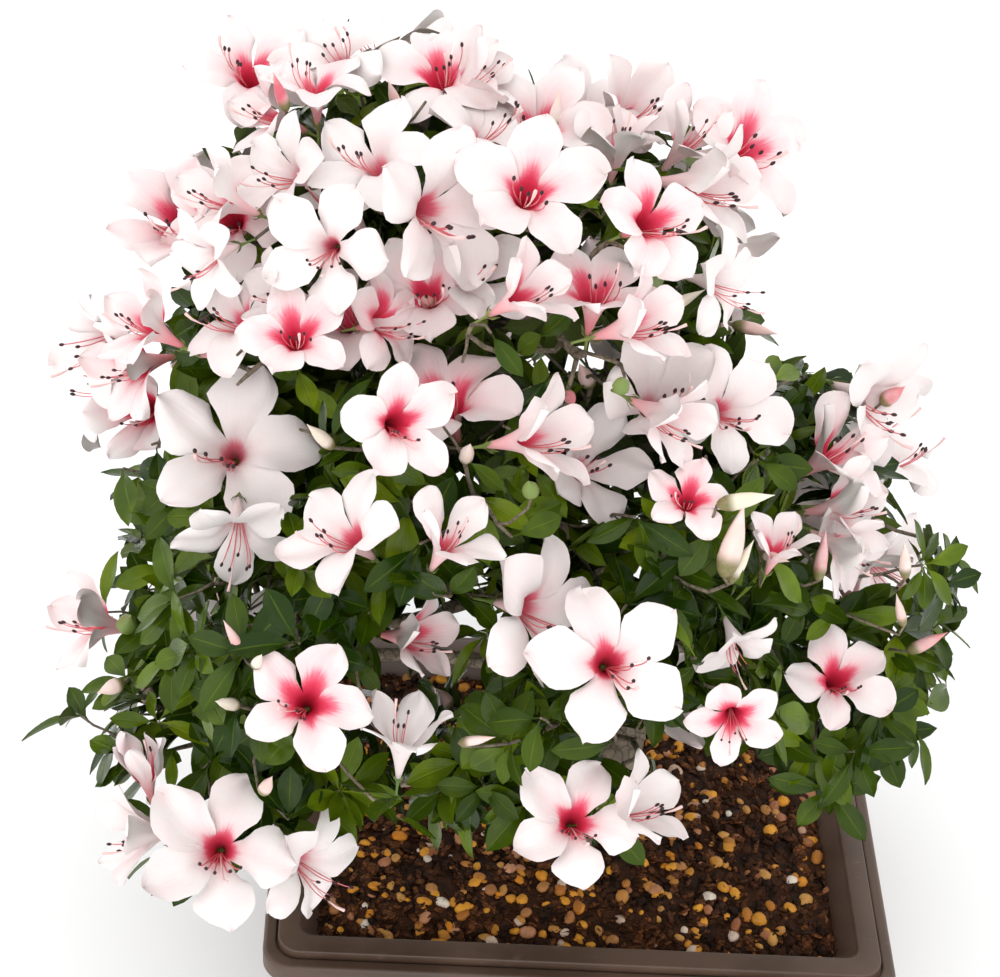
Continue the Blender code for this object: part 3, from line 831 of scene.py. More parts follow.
def petal_finish(petal, throat):
    """White petals that blush to a red throat, streaked and speckled, with coral tubes."""
    finish = Finish("azalea_petal", 0.5, 60, 900, Specular_IOR_Level=0.3)
    uv = finish.node("UVMap", uv_map="UVMap").outputs[0]
    streaks = Value(finish.noise(finish.stretched(uv, 16.0, 1.6, 1.0), 1.0, 3.0)["Fac"])
    tone = finish.stored("tone")
    blush = finish.stored("blush")
    uneven = streaks.times(0.16, blush - 0.08)
    edge = tone.times(-0.4, 0.65)
    core = uneven.between(edge - 0.02, edge + 0.19)
    halo = uneven.between(edge - 0.3, edge + 0.2)
    flush = halo * tone.times(0.13, 0.02)
    deep = blush.between(0.36, 0.7).times(0.45, 0.55)
    level = (core * deep).times(tone.times(0.6, 0.2), flush)
    speckle = finish.node("TexVoronoi", {
        "Vector": finish.stretched(uv, 11.0, 34.0, 1.0), "Scale": 1.0, "Randomness": 1.0})
    dots = 1.0 - Value(speckle.outputs["Distance"]).between(0.12, 0.24)
    spotted = dots.times(level.between(0.2, 0.45) * 0.22, level, clamp=True)
    pink = tuple(0.3 * a + 0.7 * b for a, b in zip((0.93, 0.36, 0.42), petal))
    tinted = finish.mix(finish.blend * tone.times(0.55, 0.12), petal, pink)
    heat = finish.ramp(
        spotted, (0.0, (1.0, 1.0, 1.0)), (0.13, (0.99, 0.72, 0.76)), (0.36, (0.95, 0.26, 0.36)),
        (0.66, (0.84, 0.06, 0.14)), (1.0, throat))
    face = finish.mix(1.0, tinted, heat, "MULTIPLY")
    along = Value(finish.node("SeparateXYZ", {0: uv}).outputs["Y"])
    coral = (1.0 - along.between(0.1, 0.66)) * tone.times(0.95, 0.1)
    outside = finish.mix(coral, tinted, (0.82, 0.27, 0.3))
    both = finish.mix(finish.underneath(), face, outside)
    return finish.done(both, (streaks, 0.3 * MM, 0.6), finish.grain.times(0.12, 0.44))


def stamen_finish():
    """Rose filaments, and a paler style."""
    finish = Finish("stamens", 0.5, 200, 1200)
    rose = finish.mix(finish.blend, (0.62, 0.12, 0.14), (0.78, 0.2, 0.23))
    return finish.done(finish.mix(finish.stored("pale"), rose, (0.88, 0.6, 0.58)))


def anther_finish():
    """Near black anthers with a fine grain."""
    finish = Finish("anthers", 0.55, 500, 2500)
    dark = finish.mix(finish.blend, (0.02, 0.003, 0.006), (0.06, 0.01, 0.015))
    return finish.done(dark, (finish.grain, 0.1 * MM, 1.0))


def green_finish():
    """Flower stalks, sepals and pods in a pale olive green, browner in places."""
    finish = Finish("stalk_green", 0.5, 90, 1100)
    green = finish.mix(finish.stored("tone"), (0.1, 0.18, 0.03), (0.24, 0.3, 0.075))
    brown = finish.blend.between(0.5, 1.0) * 0.35
    aged = finish.mix(brown, green, (0.2, 0.1, 0.04))
    return finish.done(aged, (finish.grain, 0.08 * MM, 0.6))


def bud_finish(petal):
    """Buds: brown-green scales at the foot, cream above, pink by each bud's tone."""
    finish = Finish("bud", 0.45, 120, 1000)
    pink = finish.ramp(
        finish.stored("tone"),
        (0.0, (0.8, 0.74, 0.56)), (0.45, (0.88, 0.62, 0.55)), (1.0, (0.66, 0.12, 0.16)))
    upper = finish.mix(finish.blend * 0.4, pink, petal)
    scales = finish.mix(finish.grain, (0.16, 0.16, 0.05), (0.26, 0.2, 0.09))
    above = finish.stored("along").between(0.16, 0.36)
    return finish.done(finish.mix(above, scales, upper))


def floor_finish():
    """A plain pale floor."""
    finish = Finish("pale_floor", 0.7, 3, 60)
    return finish.done(finish.mix(finish.blend, (0.955,) * 3, (0.965,) * 3))


# Pot and soil

SHARP_FROM = math.radians(50)


def rounded_rectangle(half_x, half_y, radius, z, steps=CORNER_STEPS):
    """Points of a rounded rectangle, anticlockwise as seen from above."""
    points = []
    for quarter, (sx, sy) in enumerate(((1, 1), (-1, 1), (-1, -1), (1, -1))):
        centre = Vector((sx * (half_x - radius), sy * (half_y - radius), z))
        for step in range(steps + 1):
            angle = math.radians(90 * (quarter + step / steps))
            points.append(centre + radius * level_way(angle))
    return points


def pot_ring(inset, z):
    radius = max(CORNER_RADIUS - 0.4 * inset, 4 * MM)
    return rounded_rectangle(POT_HALF[0] - inset, POT_HALF[1] - inset, radius, z)


def arc(centre, radius, start, end, steps):
    """Points (inset, z) of a rounded edge, with angles in degrees in that plane."""
    for i in range(steps + 1):
        angle = math.radians(start + (end - start) * i / steps)
        yield centre[0] + radius * math.cos(angle), centre[1] + radius * math.sin(angle)


def pot_profile(rounding):
    """The pot's section from the middle of its foot round the rim to under the soil."""
    foot = LIP_WIDTH + WALL_TAPER
    under_lip = LIP_TOP - LIP_DEPTH
    rim = LIP_WIDTH + BAND_WIDTH
    inner_foot = (rim + INNER_SLOPE + 4 * MM, SOIL_TOP - 24 * MM)
    edge = 0.8 * MM
    return [
        # Foot and wall
        (foot + 3.2 * MM, 0),
        *arc((foot + 3.0 * MM, 3.0 * MM), 3.0 * MM, 270, 186, 5),
        (LIP_WIDTH + 0.6 * MM, under_lip - 1.2 * MM),
        # Lip, from its underside over its outer edge to the step
        *arc((LIP_WIDTH - 0.6 * MM, under_lip - 0.6 * MM), 1.0 * MM, 0, 90, 3),
        (1.6 * MM, under_lip + 0.4 * MM),
        *arc((1.5 * MM, under_lip + 1.9 * MM), 1.5 * MM, 260, 185, 3),
        *arc((rounding, LIP_TOP - rounding), rounding, 180, 95, 6),
        (LIP_WIDTH - 1.4 * MM, LIP_TOP - 0.1 * MM),
        *arc((LIP_WIDTH - 1.0 * MM, LIP_TOP - 0.9 * MM), edge, 80, 0, 3),
        (LIP_WIDTH, LIP_TOP - 1.8 * MM),
        (LIP_WIDTH + 0.7 * MM, LIP_TOP - 1.8 * MM),
        # Raised band, and the slope inside it down into the soil
        *arc((LIP_WIDTH + 1.6 * MM, POT_HEIGHT - edge), edge, 180, 95, 4),
        *arc((rim - 0.4 * MM, POT_HEIGHT - edge), edge, 85, 10, 4),
        (rim + 1.4 * MM, POT_HEIGHT - 2.6 * MM),
        (rim + INNER_SLOPE, POT_HEIGHT - INNER_SLOPE_DEPTH),
        inner_foot,
    ]


def loft(rings):
    """Rings joined with quads, each end closed with a fan to its middle."""
    count = len(rings[0])
    verts = [point for ring in rings for point in ring]
    faces = list(ring_faces(len(rings), count))
    for ring, start, turned in ((rings[0], 0, True), (rings[-1], len(verts) - count, False)):
        middle = len(verts)
        verts.append(sum(ring, Vector()) / count)
        for i in range(count):
            j = (i + 1) % count
            pair = (start + j, start + i) if turned else (start + i, start + j)
            faces.append((*pair, middle))
    return verts, faces


class BONSAI_OT_pot(bpy.types.Operator):
    """Make the pot with its rounded rim"""
    bl_idname = "bonsai.pot"
    bl_label = "Pot"

    def execute(self, context):
        settings = context.scene.bonsai_pot
        profile = pot_profile(settings.lip_rounding)
        mesh = Shape(*loft([pot_ring(inset, z) for inset, z in profile])).mesh("pot_shell")
        mesh.set_sharp_from_angle(angle=SHARP_FROM)
        add_piece("pot_shell", mesh, pot_finish(settings.colour), "pot_plastic", "pot")
        return {"FINISHED"}


SOIL_HALF = tuple(half - LIP_WIDTH - BAND_WIDTH - INNER_SLOPE for half in POT_HALF)
SOIL_CORNER = 6 * MM
SOIL_STEP = 4 * MM
SOIL_RINGS = 52
SKIRT_DEPTH = 10 * MM
# Chips and pebbles: seed, smallest and largest length, and how far they tilt, in radians
CHIPS = (SEED + 5, 2.8 * MM, 9.6 * MM, 0.8)
PEBBLES = (SEED + 9, 2.6 * MM, 9.2 * MM, 0.35)
STONE_KINDS = 5


def soil_height(x, y, lumps):
    """The soil's surface: highest in the middle, uneven, and dropping to the wall."""
    to_wall = min(SOIL_HALF[0] - abs(x), SOIL_HALF[1] - abs(y))
    drop = SOIL_DROP * (1 - float(smoothstep(0, SOIL_EDGE, to_wall)))
    place = Vector((x, y, 0))
    uneven = 0.6 * noise.noise(place * 45) + 0.4 * noise.noise(place * 140)
    return SOIL_TOP - drop - 0.6 * lumps + lumps * uneven


def soil_mesh(lumps):
    edge = rounded_rectangle(*SOIL_HALF, SOIL_CORNER, 0, 2)
    outline = []
    for a, b in zip(edge, edge[1:] + edge[:1]):
        pieces = max(1, round((b - a).length / SOIL_STEP))
        outline.extend(a.lerp(b, k / pieces) for k in range(pieces))
    rings = []
    for i in range(SOIL_RINGS):
        flat = [point * (1 - 0.985 * i / SOIL_RINGS) for point in outline]
        rings.append([Vector((p.x, p.y, soil_height(p.x, p.y, lumps))) for p in flat])
    skirt = [p - rise(SKIRT_DEPTH) for p in rings[0]]
    return Shape(*loft([skirt] + rings)).mesh("soil_surface")


def stone_mesh(seed, subdivisions, proportions, roughness):
    """One pebble or chip, 1 long, from a ball drawn out and dented."""
    bm = bmesh.new()
    bmesh.ops.create_icosphere(bm, subdivisions=subdivisions, radius=0.5)
    offset = Vector((seed * 7.3, seed * 3.1, 0))
    for vert in bm.verts:
        dent = 1 + roughness * noise.noise(vert.co * 2.6 + offset)
        vert.co = Vector(a * b for a, b in zip(vert.co, proportions)) * dent
    mesh = bpy.data.meshes.new("stone")
    bm.to_mesh(mesh)
    bm.free()
    mesh.shade_smooth()
    return mesh


class BONSAI_OT_soil(bpy.types.Operator):
    """Make the soil with its chips of bark and its grit"""
    bl_idname = "bonsai.soil"
    bl_label = "Soil"

    def execute(self, context):
        settings = context.scene.bonsai_soil
        surface = soil_mesh(settings.lumps)
        chips = [
            stone_mesh(k, 1, (1, 0.5 + 0.06 * k, 0.24), 0.9) for k in range(STONE_KINDS)]
        pebbles = [
            stone_mesh(k + 20, 2, (1, 0.62 + 0.05 * k, 0.5 + 0.04 * k), 0.22)
            for k in range(STONE_KINDS)]
        bark = soil_finish("bark_chips", settings.colour, (0.25, 0.085, 0.025))
        for name, density, (seed, smallest, largest, tilt), originals, material in (
                ("bark_chips", settings.chip_density, CHIPS, chips, bark),
                ("grit", settings.pebble_density, PEBBLES, pebbles, pebble_finish())):
            mesh = run_tree(surface.copy(), scatter_tree(), {
                "Material": material, "Density": density, "Seed": seed,
                "Smallest": smallest, "Largest": largest, "Tilt": tilt}, originals)
            add_piece(name, mesh, material, "potting_soil")
        material = soil_finish("moist_soil", settings.colour, (0.06, 0.024, 0.011))
        add_piece("soil_surface", surface, material, "potting_soil", "soil")
        return {"FINISHED"}


# Trunk, boughs and the rule for the crown's masses

TRUNK_STEPS, TRUNK_SIDES = 190, 52
# The trunk's foot: height and depth of the flare's lobes, and the first one's side in radians
FLARE_HEIGHT = 26 * MM
FLARE_DEPTH = 0.55
FIRST_ROOT = 2.9
ROOT_STEPS = 26
BOUGH_STEPS = 34
LIMB_SIDES = 16
BOUGH_WANDER = 4.5 * MM
BOUGH_PATH_STEPS = 14
# Room to keep clear round the trunk, in mm, and round a bough
TRUNK_ROOM = 2.5
BOUGH_ROOM = 1.5 * MM
CRACK_COLOUR = (0.05, 0.034, 0.024)
TWIG_CRACK_COLOUR = (0.05, 0.045, 0.02)


def trunk_at(height):
    """The centre and radius of the trunk at a height in mm."""
    for (low, low_radius), (high, high_radius) in zip(TRUNK_AXIS, TRUNK_AXIS[1:]):
        if low[2] <= height <= high[2]:
            t = (height - low[2]) / (high[2] - low[2])
            centre = Vector(low).lerp(Vector(high), t) * MM
            return centre, (low_radius + (high_radius - low_radius) * t) * MM
    return Vector(TRUNK_AXIS[-1][0]) * MM, TRUNK_AXIS[-1][1] * MM


class Mass:
    """One mass of leaves and blossom with the bough and the stem that carry it."""

    def __init__(self, name, side, reach, height, radius, fork):
        self.name = name
        z = height * MM
        axis = Vector((CROWN_AXIS_X - CROWN_LEAN * (z - CROWN_FOOT), 0, z))
        side_way = level_way(math.radians(side))
        self.centre = axis + reach * MM * side_way
        self.radius = radius * MM
        self.outward = (side_way + rise(0.5)).normalized()
        self.fork, fork_radius = trunk_at(fork)
        self.bough_radius = max(BOUGH_ROOT_SHARE * fork_radius, STEM_RADIUS * 1.3)
        sag = (self.centre - self.fork).length * BOUGH_SAG
        self.bend = self.fork.lerp(self.centre, 0.5) - rise(sag)
        self.stem_direction = (self.centre - self.bend).normalized()
        core = CORE_SHARE * self.radius
        self.stem_start = self.centre - self.stem_direction * (core + STEM_LENGTH)
        if not reach:
            self.stand_on_trunk(z)

    def stand_on_trunk(self, z):
        """The top mass goes on from the trunk's tip, in line with it."""
        trunk_top = Vector(TRUNK_AXIS[-1][0]) * MM
        way = (trunk_top - Vector(TRUNK_AXIS[-2][0]) * MM).normalized()
        self.outward = rise(1)
        self.stem_direction = way
        self.stem_start = trunk_top
        self.centre = trunk_top + way * (z - trunk_top.z) / way.z

    def at(self, way, share):
        """The point that lies this way from the centre, at a share of the radius there."""
        return self.centre + Vector((way.x, way.y, way.z * FLATTEN)) * self.radius * share

    def owns(self, point, masses):
        """True where this mass is the nearest one, by the power of the point."""
        own = (point - self.centre).length_squared - self.radius ** 2
        for other in masses:
            if other is self:
                continue
            apart = (other.centre - self.centre).length
            power = (point - other.centre).length_squared - other.radius ** 2
            if power - own < 2 * apart * SPACE_MARGIN:
                return False
        return True

    def hit(self, origin, way, swell=1.0):
        """How far along a ray this mass's skin is first met, or None."""
        stretch = Vector((1, 1, 1 / FLATTEN)) / (self.radius * swell)
        o = Vector(a * b for a, b in zip(origin - self.centre, stretch))
        w = Vector(a * b for a, b in zip(way, stretch))
        half_b = o.dot(w)
        depth = half_b ** 2 - w.length_squared * (o.length_squared - 1)
        if depth < 0:
            return None
        return (-half_b - math.sqrt(depth)) / w.length_squared

    def bough_path(self, steps):
        return bezier([self.fork, self.bend, self.stem_start], steps)


@functools.lru_cache(maxsize=1)
def crown_masses():
    return [Mass(*row) for row in MASSES]


def bark_reach(points, scale, crack_depth, radii, knots=0.1):
    """A function that roughens a tube: slow swellings and narrow cracks along it."""
    def reach(i, angle):
        place = level_way(angle) * 1.4
        place.z = (points[i] - points[0]).length * scale
        swelling = knots * noise.noise(place + Vector((3.1, 0, 0)))
        plates = Vector((place.x * 3.6, place.y * 3.6, place.z * 1.1))
        ridge = abs(noise.noise(plates)) + 0.35 * abs(noise.noise(plates * 2.3))
        crack = 1 - float(smoothstep(0.02, 0.2, ridge))
        return 1 + swelling - crack * min(0.2, crack_depth / radii[i])
    return reach


def resampled(points, values, steps):
    """A smooth path through points, with the values carried along it."""
    path, carried = [], []
    last = len(points) - 1
    for i in range(steps + 1):
        t = i / steps * last
        k = min(int(t), last - 1)
        u = t - k
        before, a, b, after = (points[min(max(k + d, 0), last)] for d in (-1, 0, 1, 2))
        path.append(0.5 * (2 * a + (b - before) * u + (2 * before - 5 * a + 4 * b - after) * u ** 2
                           + (3 * a - before - 3 * b + after) * u ** 3))
        carried.append(values[k] + (values[k + 1] - values[k]) * u)
    return path, carried


def add_trunk(shape, settings):
    points = [Vector(point) * MM for point, _radius in TRUNK_AXIS]
    radii = [radius * MM for _point, radius in TRUNK_AXIS]
    path, radii = resampled(points, radii, TRUNK_STEPS)
    roughen = bark_reach(path, 60, settings.crack_depth, radii)

    def reach(i, angle):
        fade = max(0.0, 1 - (path[i].z - path[0].z) / FLARE_HEIGHT) ** 2
        lobe = abs(math.cos(0.5 * settings.root_count * (angle - FIRST_ROOT))) ** 1.4
        return roughen(i, angle) * (1 + FLARE_DEPTH * fade * lobe)

    shape.add(*tube(path, radii, TRUNK_SIDES, reach))


def add_roots(shape, settings):
    """Surface roots that run out from the trunk's foot and dip into the soil."""
    foot = Vector(TRUNK_AXIS[0][0]) * MM
    rng = random.Random(SEED)
    for k in range(settings.root_count):
        angle = FIRST_ROOT + 2 * math.pi * k / settings.root_count + rng.uniform(-0.2, 0.2)
        leftward = 0.5 - 0.5 * math.cos(angle)
        length = (34 + 30 * leftward + rng.uniform(0, 8)) * MM
        way = level_way(angle)
        side = Vector((-way.y, way.x, 0)) * rng.uniform(-0.25, 0.25)
        controls = [
            foot + way * 5 * MM + rise(17 * MM),
            foot + way * 13 * MM + rise(4 * MM),
            foot + (way + side) * length * 0.6 + rise(0.5 * MM),
            foot + (way - side) * length - rise(8 * MM),
        ]
        path = bezier(controls, ROOT_STEPS)
        radii = [(6.6 - 4.4 * (i / ROOT_STEPS) ** 0.7) * MM for i in range(ROOT_STEPS + 1)]
        reach = bark_reach(path, 80, settings.crack_depth, radii, 0.16)
        shape.add(*tube(path, radii, LIMB_SIDES, reach))


def add_bough(shape, mass, settings):
    """One tapering bough, from inside the trunk to where it enters its mass."""
    path = mass.bough_path(BOUGH_STEPS)
    rng = random.Random(mass.name)
    wander = Vector((rng.uniform(0, 9), rng.uniform(0, 9), rng.uniform(0, 9)))
    radii = []
    for i, point in enumerate(path):
        t = i / BOUGH_STEPS
        loose = BOUGH_WANDER * math.sin(math.pi * t)
        path[i] = point + loose * wander_at(point * 26 + wander)
        collar = 1 + 0.5 * math.exp(-t * 14)
        radii.append((mass.bough_radius + (STEM_RADIUS - mass.bough_radius) * t ** 0.8) * collar)
    reach = bark_reach(path, 90, settings.crack_depth, radii, 0.2)
    shape.add(*tube(path, radii, LIMB_SIDES, reach))


class BONSAI_OT_limbs(bpy.types.Operator):
    """Make the trunk, its surface roots and the boughs, with relief in the bark"""
    bl_idname = "bonsai.limbs"
    bl_label = "Trunk and boughs"

    def execute(self, context):
        settings = context.scene.bonsai_limbs
        bark = bark_finish("azalea_bark", settings.colour, CRACK_COLOUR, 0.3)
        trunk = Shape()
        add_trunk(trunk, settings)
        add_roots(trunk, settings)
        add_piece("trunk_bark", trunk.mesh("trunk_bark"), bark, "bark", "trunk")
        boughs = Shape()
        carried = crown_masses()[1:]
        for mass in carried:
            add_bough(boughs, mass, settings)
        names = ["bough_" + mass.name for mass in carried]
        add_piece("bough_bark", boughs.mesh("bough_bark"), bark, "bark", *names)
        return {"FINISHED"}


# Camera geometry

def camera_axes():
    """The camera's right, up and forward vectors."""
    flat = math.cos(CAMERA_PITCH)
    forward = Vector((
        math.sin(CAMERA_YAW) * flat, math.cos(CAMERA_YAW) * flat, -math.sin(CAMERA_PITCH)))
    level = Vector((math.cos(CAMERA_YAW), -math.sin(CAMERA_YAW), 0))
    up = level.cross(forward)
    right = math.cos(CAMERA_ROLL) * level + math.sin(CAMERA_ROLL) * up
    return right, -math.sin(CAMERA_ROLL) * level + math.cos(CAMERA_ROLL) * up, forward


RIGHT, UP, FORWARD = camera_axes()
# The masses swell by these shares in turn until one meets a pixel between or beside them
SKIN_SWELLS = (1.0, 1.1, 1.2, 1.35, 1.5, 1.8)


def pixel_way(x, y):
    """The direction in which a pixel of the picture looks."""
    right = (x - VIEW_CENTRE_X) / FOCAL_PIXELS
    up = (PICTURE_HEIGHT / 2 - y) / FOCAL_PIXELS
    return (RIGHT * right + UP * up + FORWARD).normalized()


def pixels_of(points):
    """Columns, rows and depths in the picture of an array of points."""
    away = np.asarray(points, float) - np.array(CAMERA_PLACE)
    depth = away @ np.array(FORWARD)
    x = VIEW_CENTRE_X + FOCAL_PIXELS * (away @ np.array(RIGHT)) / depth
    y = PICTURE_HEIGHT / 2 - FOCAL_PIXELS * (away @ np.array(UP)) / depth
    return x, y, depth


def pixel_of(point):
    x, y, _depth = pixels_of([point])
    return x[0], y[0]


def in_metres(pixels, point):
    """The size at a point of what is so many pixels long in the picture."""
    return pixels * (point - CAMERA_PLACE).dot(FORWARD) / FOCAL_PIXELS


def picture_way(heading, lean):
    """A direction given by its heading in the picture and its lean from the camera."""
    heading, lean = math.radians(heading), math.radians(lean)
    flat = RIGHT * math.cos(heading) + UP * math.sin(heading)
    return flat * math.sin(lean) - FORWARD * math.cos(lean)


def skin_at(x, y, masses):
    """The point of the crown's skin at a pixel, the mass it lies on, and the pixel's way."""
    way = pixel_way(x, y)
    for swell in SKIN_SWELLS:
        hits = [(mass.hit(CAMERA_PLACE, way, swell), mass) for mass in masses]
        hits = [(distance, mass) for distance, mass in hits if distance]
        if hits:
            distance, mass = min(hits, key=lambda pair: pair[0])
            return CAMERA_PLACE + way * distance, mass, way
    raise ValueError(f"no mass near pixel {x}, {y}")


# The crown: where everything goes

# Slope in degrees that the petals of each kind of bloom reach
OPENINGS = (86, 80, 90, 76, 50, 42, 14)
KINDS_BY_WORD = {"open": (0, 1, 2, 3), "funnel": (4, 5), "half": (6,)}
# Height of each sort's rim above its foot, and length of the stalk, as shares of the width
RIM_HEIGHTS = {"open": 0.38, "funnel": 0.62, "half": 0.75}
STALK_LENGTH = 0.17
# Filling blooms: spacing and the room to gaps and to the crown's outline in pixels, width
# in mm, sorts and blushes to choose from, and how far behind the skin they may sit, in mm
FILLING_SPACING = 24
FILLING_GAP_ROOM = 26
FILLING_OUTLINE_ROOM = 34
FILLING_WIDTHS = (52, 66)
FILLING_SORTS = ("open", "open", "funnel")
FILLING_BLUSHES = (0.15, 0.3, 0.5, 0.75, 0.95)
FILLING_DEPTHS = (8, 14, 20, 27, 35, 44)
# Blooms on the far sides: tries on each mass, sorts and blushes to choose from, and the
# room to gaps in pixels
BLOOM_TRIES = 90
BLOOM_SORTS = ("open", "open", "open", "funnel", "funnel")
BLOOM_BLUSHES = (0.1, 0.3, 0.5, 0.7, 0.85, 1.0)
BLOOM_GAP_ROOM = 24
# How near two blooms may come, as shares of their mean width: where the new one would
# hide the other, in the picture, in the scene, and on the far sides
HIDING_APART = 0.74
PICTURE_APART = 0.25
SCENE_APART = 0.47
FAR_APART = 0.74
# A point is in the picture if no mass, at this share of its size, meets the view this far
# before it
VIEW_SWELL = 0.86
VIEW_ROOM = 20 * MM
# Leafy shoots: tries on each mass, room between two, room to gaps in pixels, height above
# the soil, and room to the limbs
SHOOT_TRIES = 420
SHOOT_SPACING = 15 * MM
SHOOT_GAP_ROOM = 8
SHOOT_HEIGHT = 14 * MM
SHOOT_LIMB_ROOM = 3 * MM
# Kept free of shoots before a bloom's foot: from and to along its axis, and off it
BLOOM_FRONT = (6 * MM, 60 * MM, 22 * MM)
# Shares of a mass's radius beyond which clumps part, and blossom hides the shoots
CLUMPS_FROM = 0.7
HIDDEN_FROM = 0.72
# Share of the outer shoots left where blossom hides the leaves
LEAVES_IN_BLOSSOM = 0.16
# Foliage stands in clumps of this size, open where their noise is below this
CLUMP_SIZE = 19 * MM
OPEN_BELOW = 0.0
# Whorls: leaves in the star and below it, the drop from one to the next below, the share
# of whorls with a bud, and the leaves kept of a whorl that stands under a bloom
STAR_LEAVES = (5, 5, 6, 6, 7)
LEAVES_BELOW = (2, 3, 4, 5)
LEAF_DROP = 4.5 * MM
BUD_SHARE = 0.09
LEAVES_UNDER_BLOOM = 4
# Buds up to this length are round, and shorter ones blush at least so much
ROUND_BUD = 15 * MM
ROUND_BUD_BLUSH = 0.55
# Room that a leaf's midrib leaves to the model's box and the soil, for its blade
LEAF_ROOM = 3 * MM
# A bloom's inside, kept free of leaves, as shares of its width: half its width at the foot
# and how much more at the mouth, how far up the mouth is, and how far up it is kept free
BLOOM_INSIDE = (0.1, 0.36, 0.36, 0.9)
# No leaf stands before a picked bloom, within this share of its width from its middle
FACE_SHARE = 0.4
# Picked buds shorter than this in pixels are round
ROUND_BUD_PIXELS = 32


class Growth(NamedTuple):
    """Something at the end of a twig: a bloom, bud or pod."""
    foot: Vector
    way: Vector
    up: Vector
    size: float
    kind: int
    tone: float
    mass: Mass


class Shoot(NamedTuple):
    """A twig's end with a whorl of leaves."""
    tip: Vector
    way: Vector
    mass: Mass


def turn_of(way, up):
    """The quaternion that takes +Z to way and +Y as near as may be to up."""
    z = way.normalized()
    x = up.cross(z)
    x = x.normalized() if x.length > 1e-3 else z.orthogonal().normalized()
    y = z.cross(x)
    return Matrix((x, y, z)).transposed().to_quaternion()


def picked_blooms(masses, rng):
    """The blooms that show in the picture."""
    blooms = []
    for x, y, heading, lean, word, span, blush, depth in FRONT_BLOOMS:
        skin, mass, way = skin_at(x, y, masses)
        middle = skin + way * depth * MM
        facing = picture_way(heading, lean)
        width = in_metres(span, middle)
        while not fits_box(middle, 0.5 * width, facing):
            middle += way * 2 * MM
        foot = middle - facing * RIM_HEIGHTS[word] * width
        kind = rng.choice(KINDS_BY_WORD[word])
        up = UP + RIGHT * rng.uniform(-0.5, 0.5)
        blooms.append(Growth(foot, facing, up, width, kind, blush, mass))
    return blooms


def in_ellipses(x, y, ellipses):
    return any(((x - a) / c) ** 2 + ((y - b) / d) ** 2 < 1 for a, b, c, d in ellipses)


def filling_blooms(picked, masses, rng):
    """Blooms that peep out between the picked ones where blossom is thick."""
    made = []
    for row in range(PICTURE_HEIGHT // FILLING_SPACING):
        for column in range(PICTURE_WIDTH // FILLING_SPACING):
            x = (column + 0.5 * (row % 2) + rng.uniform(-0.25, 0.25)) * FILLING_SPACING
            y = (row + rng.uniform(-0.25, 0.25)) * FILLING_SPACING
            in_gap = near_gap(x, y, SKY_GAPS + LIMB_GAPS, FILLING_GAP_ROOM)
            if in_gap or not in_ellipses(x, y, BLOSSOM_ZONES):
                continue
            if not inside(CROWN_OUTLINE, *outward_pixels(x, y, FILLING_OUTLINE_ROOM)):
                continue
            skin, mass, way = skin_at(x, y, masses)
            width = rng.uniform(*FILLING_WIDTHS) * MM
            places = [skin + way * depth * MM for depth in FILLING_DEPTHS]
            middle = next((place for place in places if not any(
                covers(place, width, bloom) for bloom in picked + made)), None)
            if middle is None:
                continue
            heading = math.degrees(math.atan2(CROWN_MIDDLE[1] - y, x - CROWN_MIDDLE[0]))
            facing = picture_way(heading + rng.uniform(-50, 50), rng.uniform(20, 66))
            if not fits_box(middle, 0.5 * width, facing):
                continue
            word = rng.choice(FILLING_SORTS)
            kind = rng.choice(KINDS_BY_WORD[word])
            foot = middle - facing * RIM_HEIGHTS[word] * width
            tone = rng.choice(FILLING_BLUSHES)
            up = UP + RIGHT * rng.uniform(-1, 1)
            made.append(Growth(foot, facing, up, width, kind, tone, mass))
    return made


def covers(middle, width, bloom):
    """True if a new bloom would meet another, or hide part of it."""
    other = rim_middle(bloom)
    x, y, depth = pixels_of([middle, other])
    apart = math.hypot(x[0] - x[1], y[0] - y[1]) * depth[1] / FOCAL_PIXELS
    near = 0.5 * (width + bloom.size)
    in_front = apart < HIDING_APART * near and depth[0] < depth[1] + 8 * MM
    in_picture_near = apart < PICTURE_APART * near
    return in_front or in_picture_near or (middle - other).length < SCENE_APART * near


def outward_pixels(x, y, margin):
    """A pixel moved away from the crown's middle, as arrays."""
    aside, down = x - CROWN_MIDDLE[0], y - CROWN_MIDDLE[1]
    step = margin / max(1.0, math.hypot(aside, down))
    return np.array([x + aside * step]), np.array([y + down * step])


def near_gap(x, y, gaps, margin=0):
    return any(math.hypot(x - a, y - b) < radius + margin for a, b, radius in gaps)


def in_picture(point, masses):
    """True where nothing of the crown stands between a point and the camera."""
    away = point - CAMERA_PLACE
    way = away.normalized()
    for mass in masses:
        distance = mass.hit(CAMERA_PLACE, way, VIEW_SWELL)
        if distance and distance < away.length - VIEW_ROOM:
            return False
    return True


def spread_ways(count, rng):
    """Directions spread evenly over a sphere, turned and jittered by the seed."""
    start = rng.uniform(0, 2 * math.pi)
    for i in range(count):
        z = 1 - 2 * (i + 0.5) / count
        angle = start + GOLDEN_ANGLE * i + rng.uniform(-0.2, 0.2)
        flat = math.sqrt(1 - z * z)
        yield Vector((flat * math.cos(angle), flat * math.sin(angle), z))


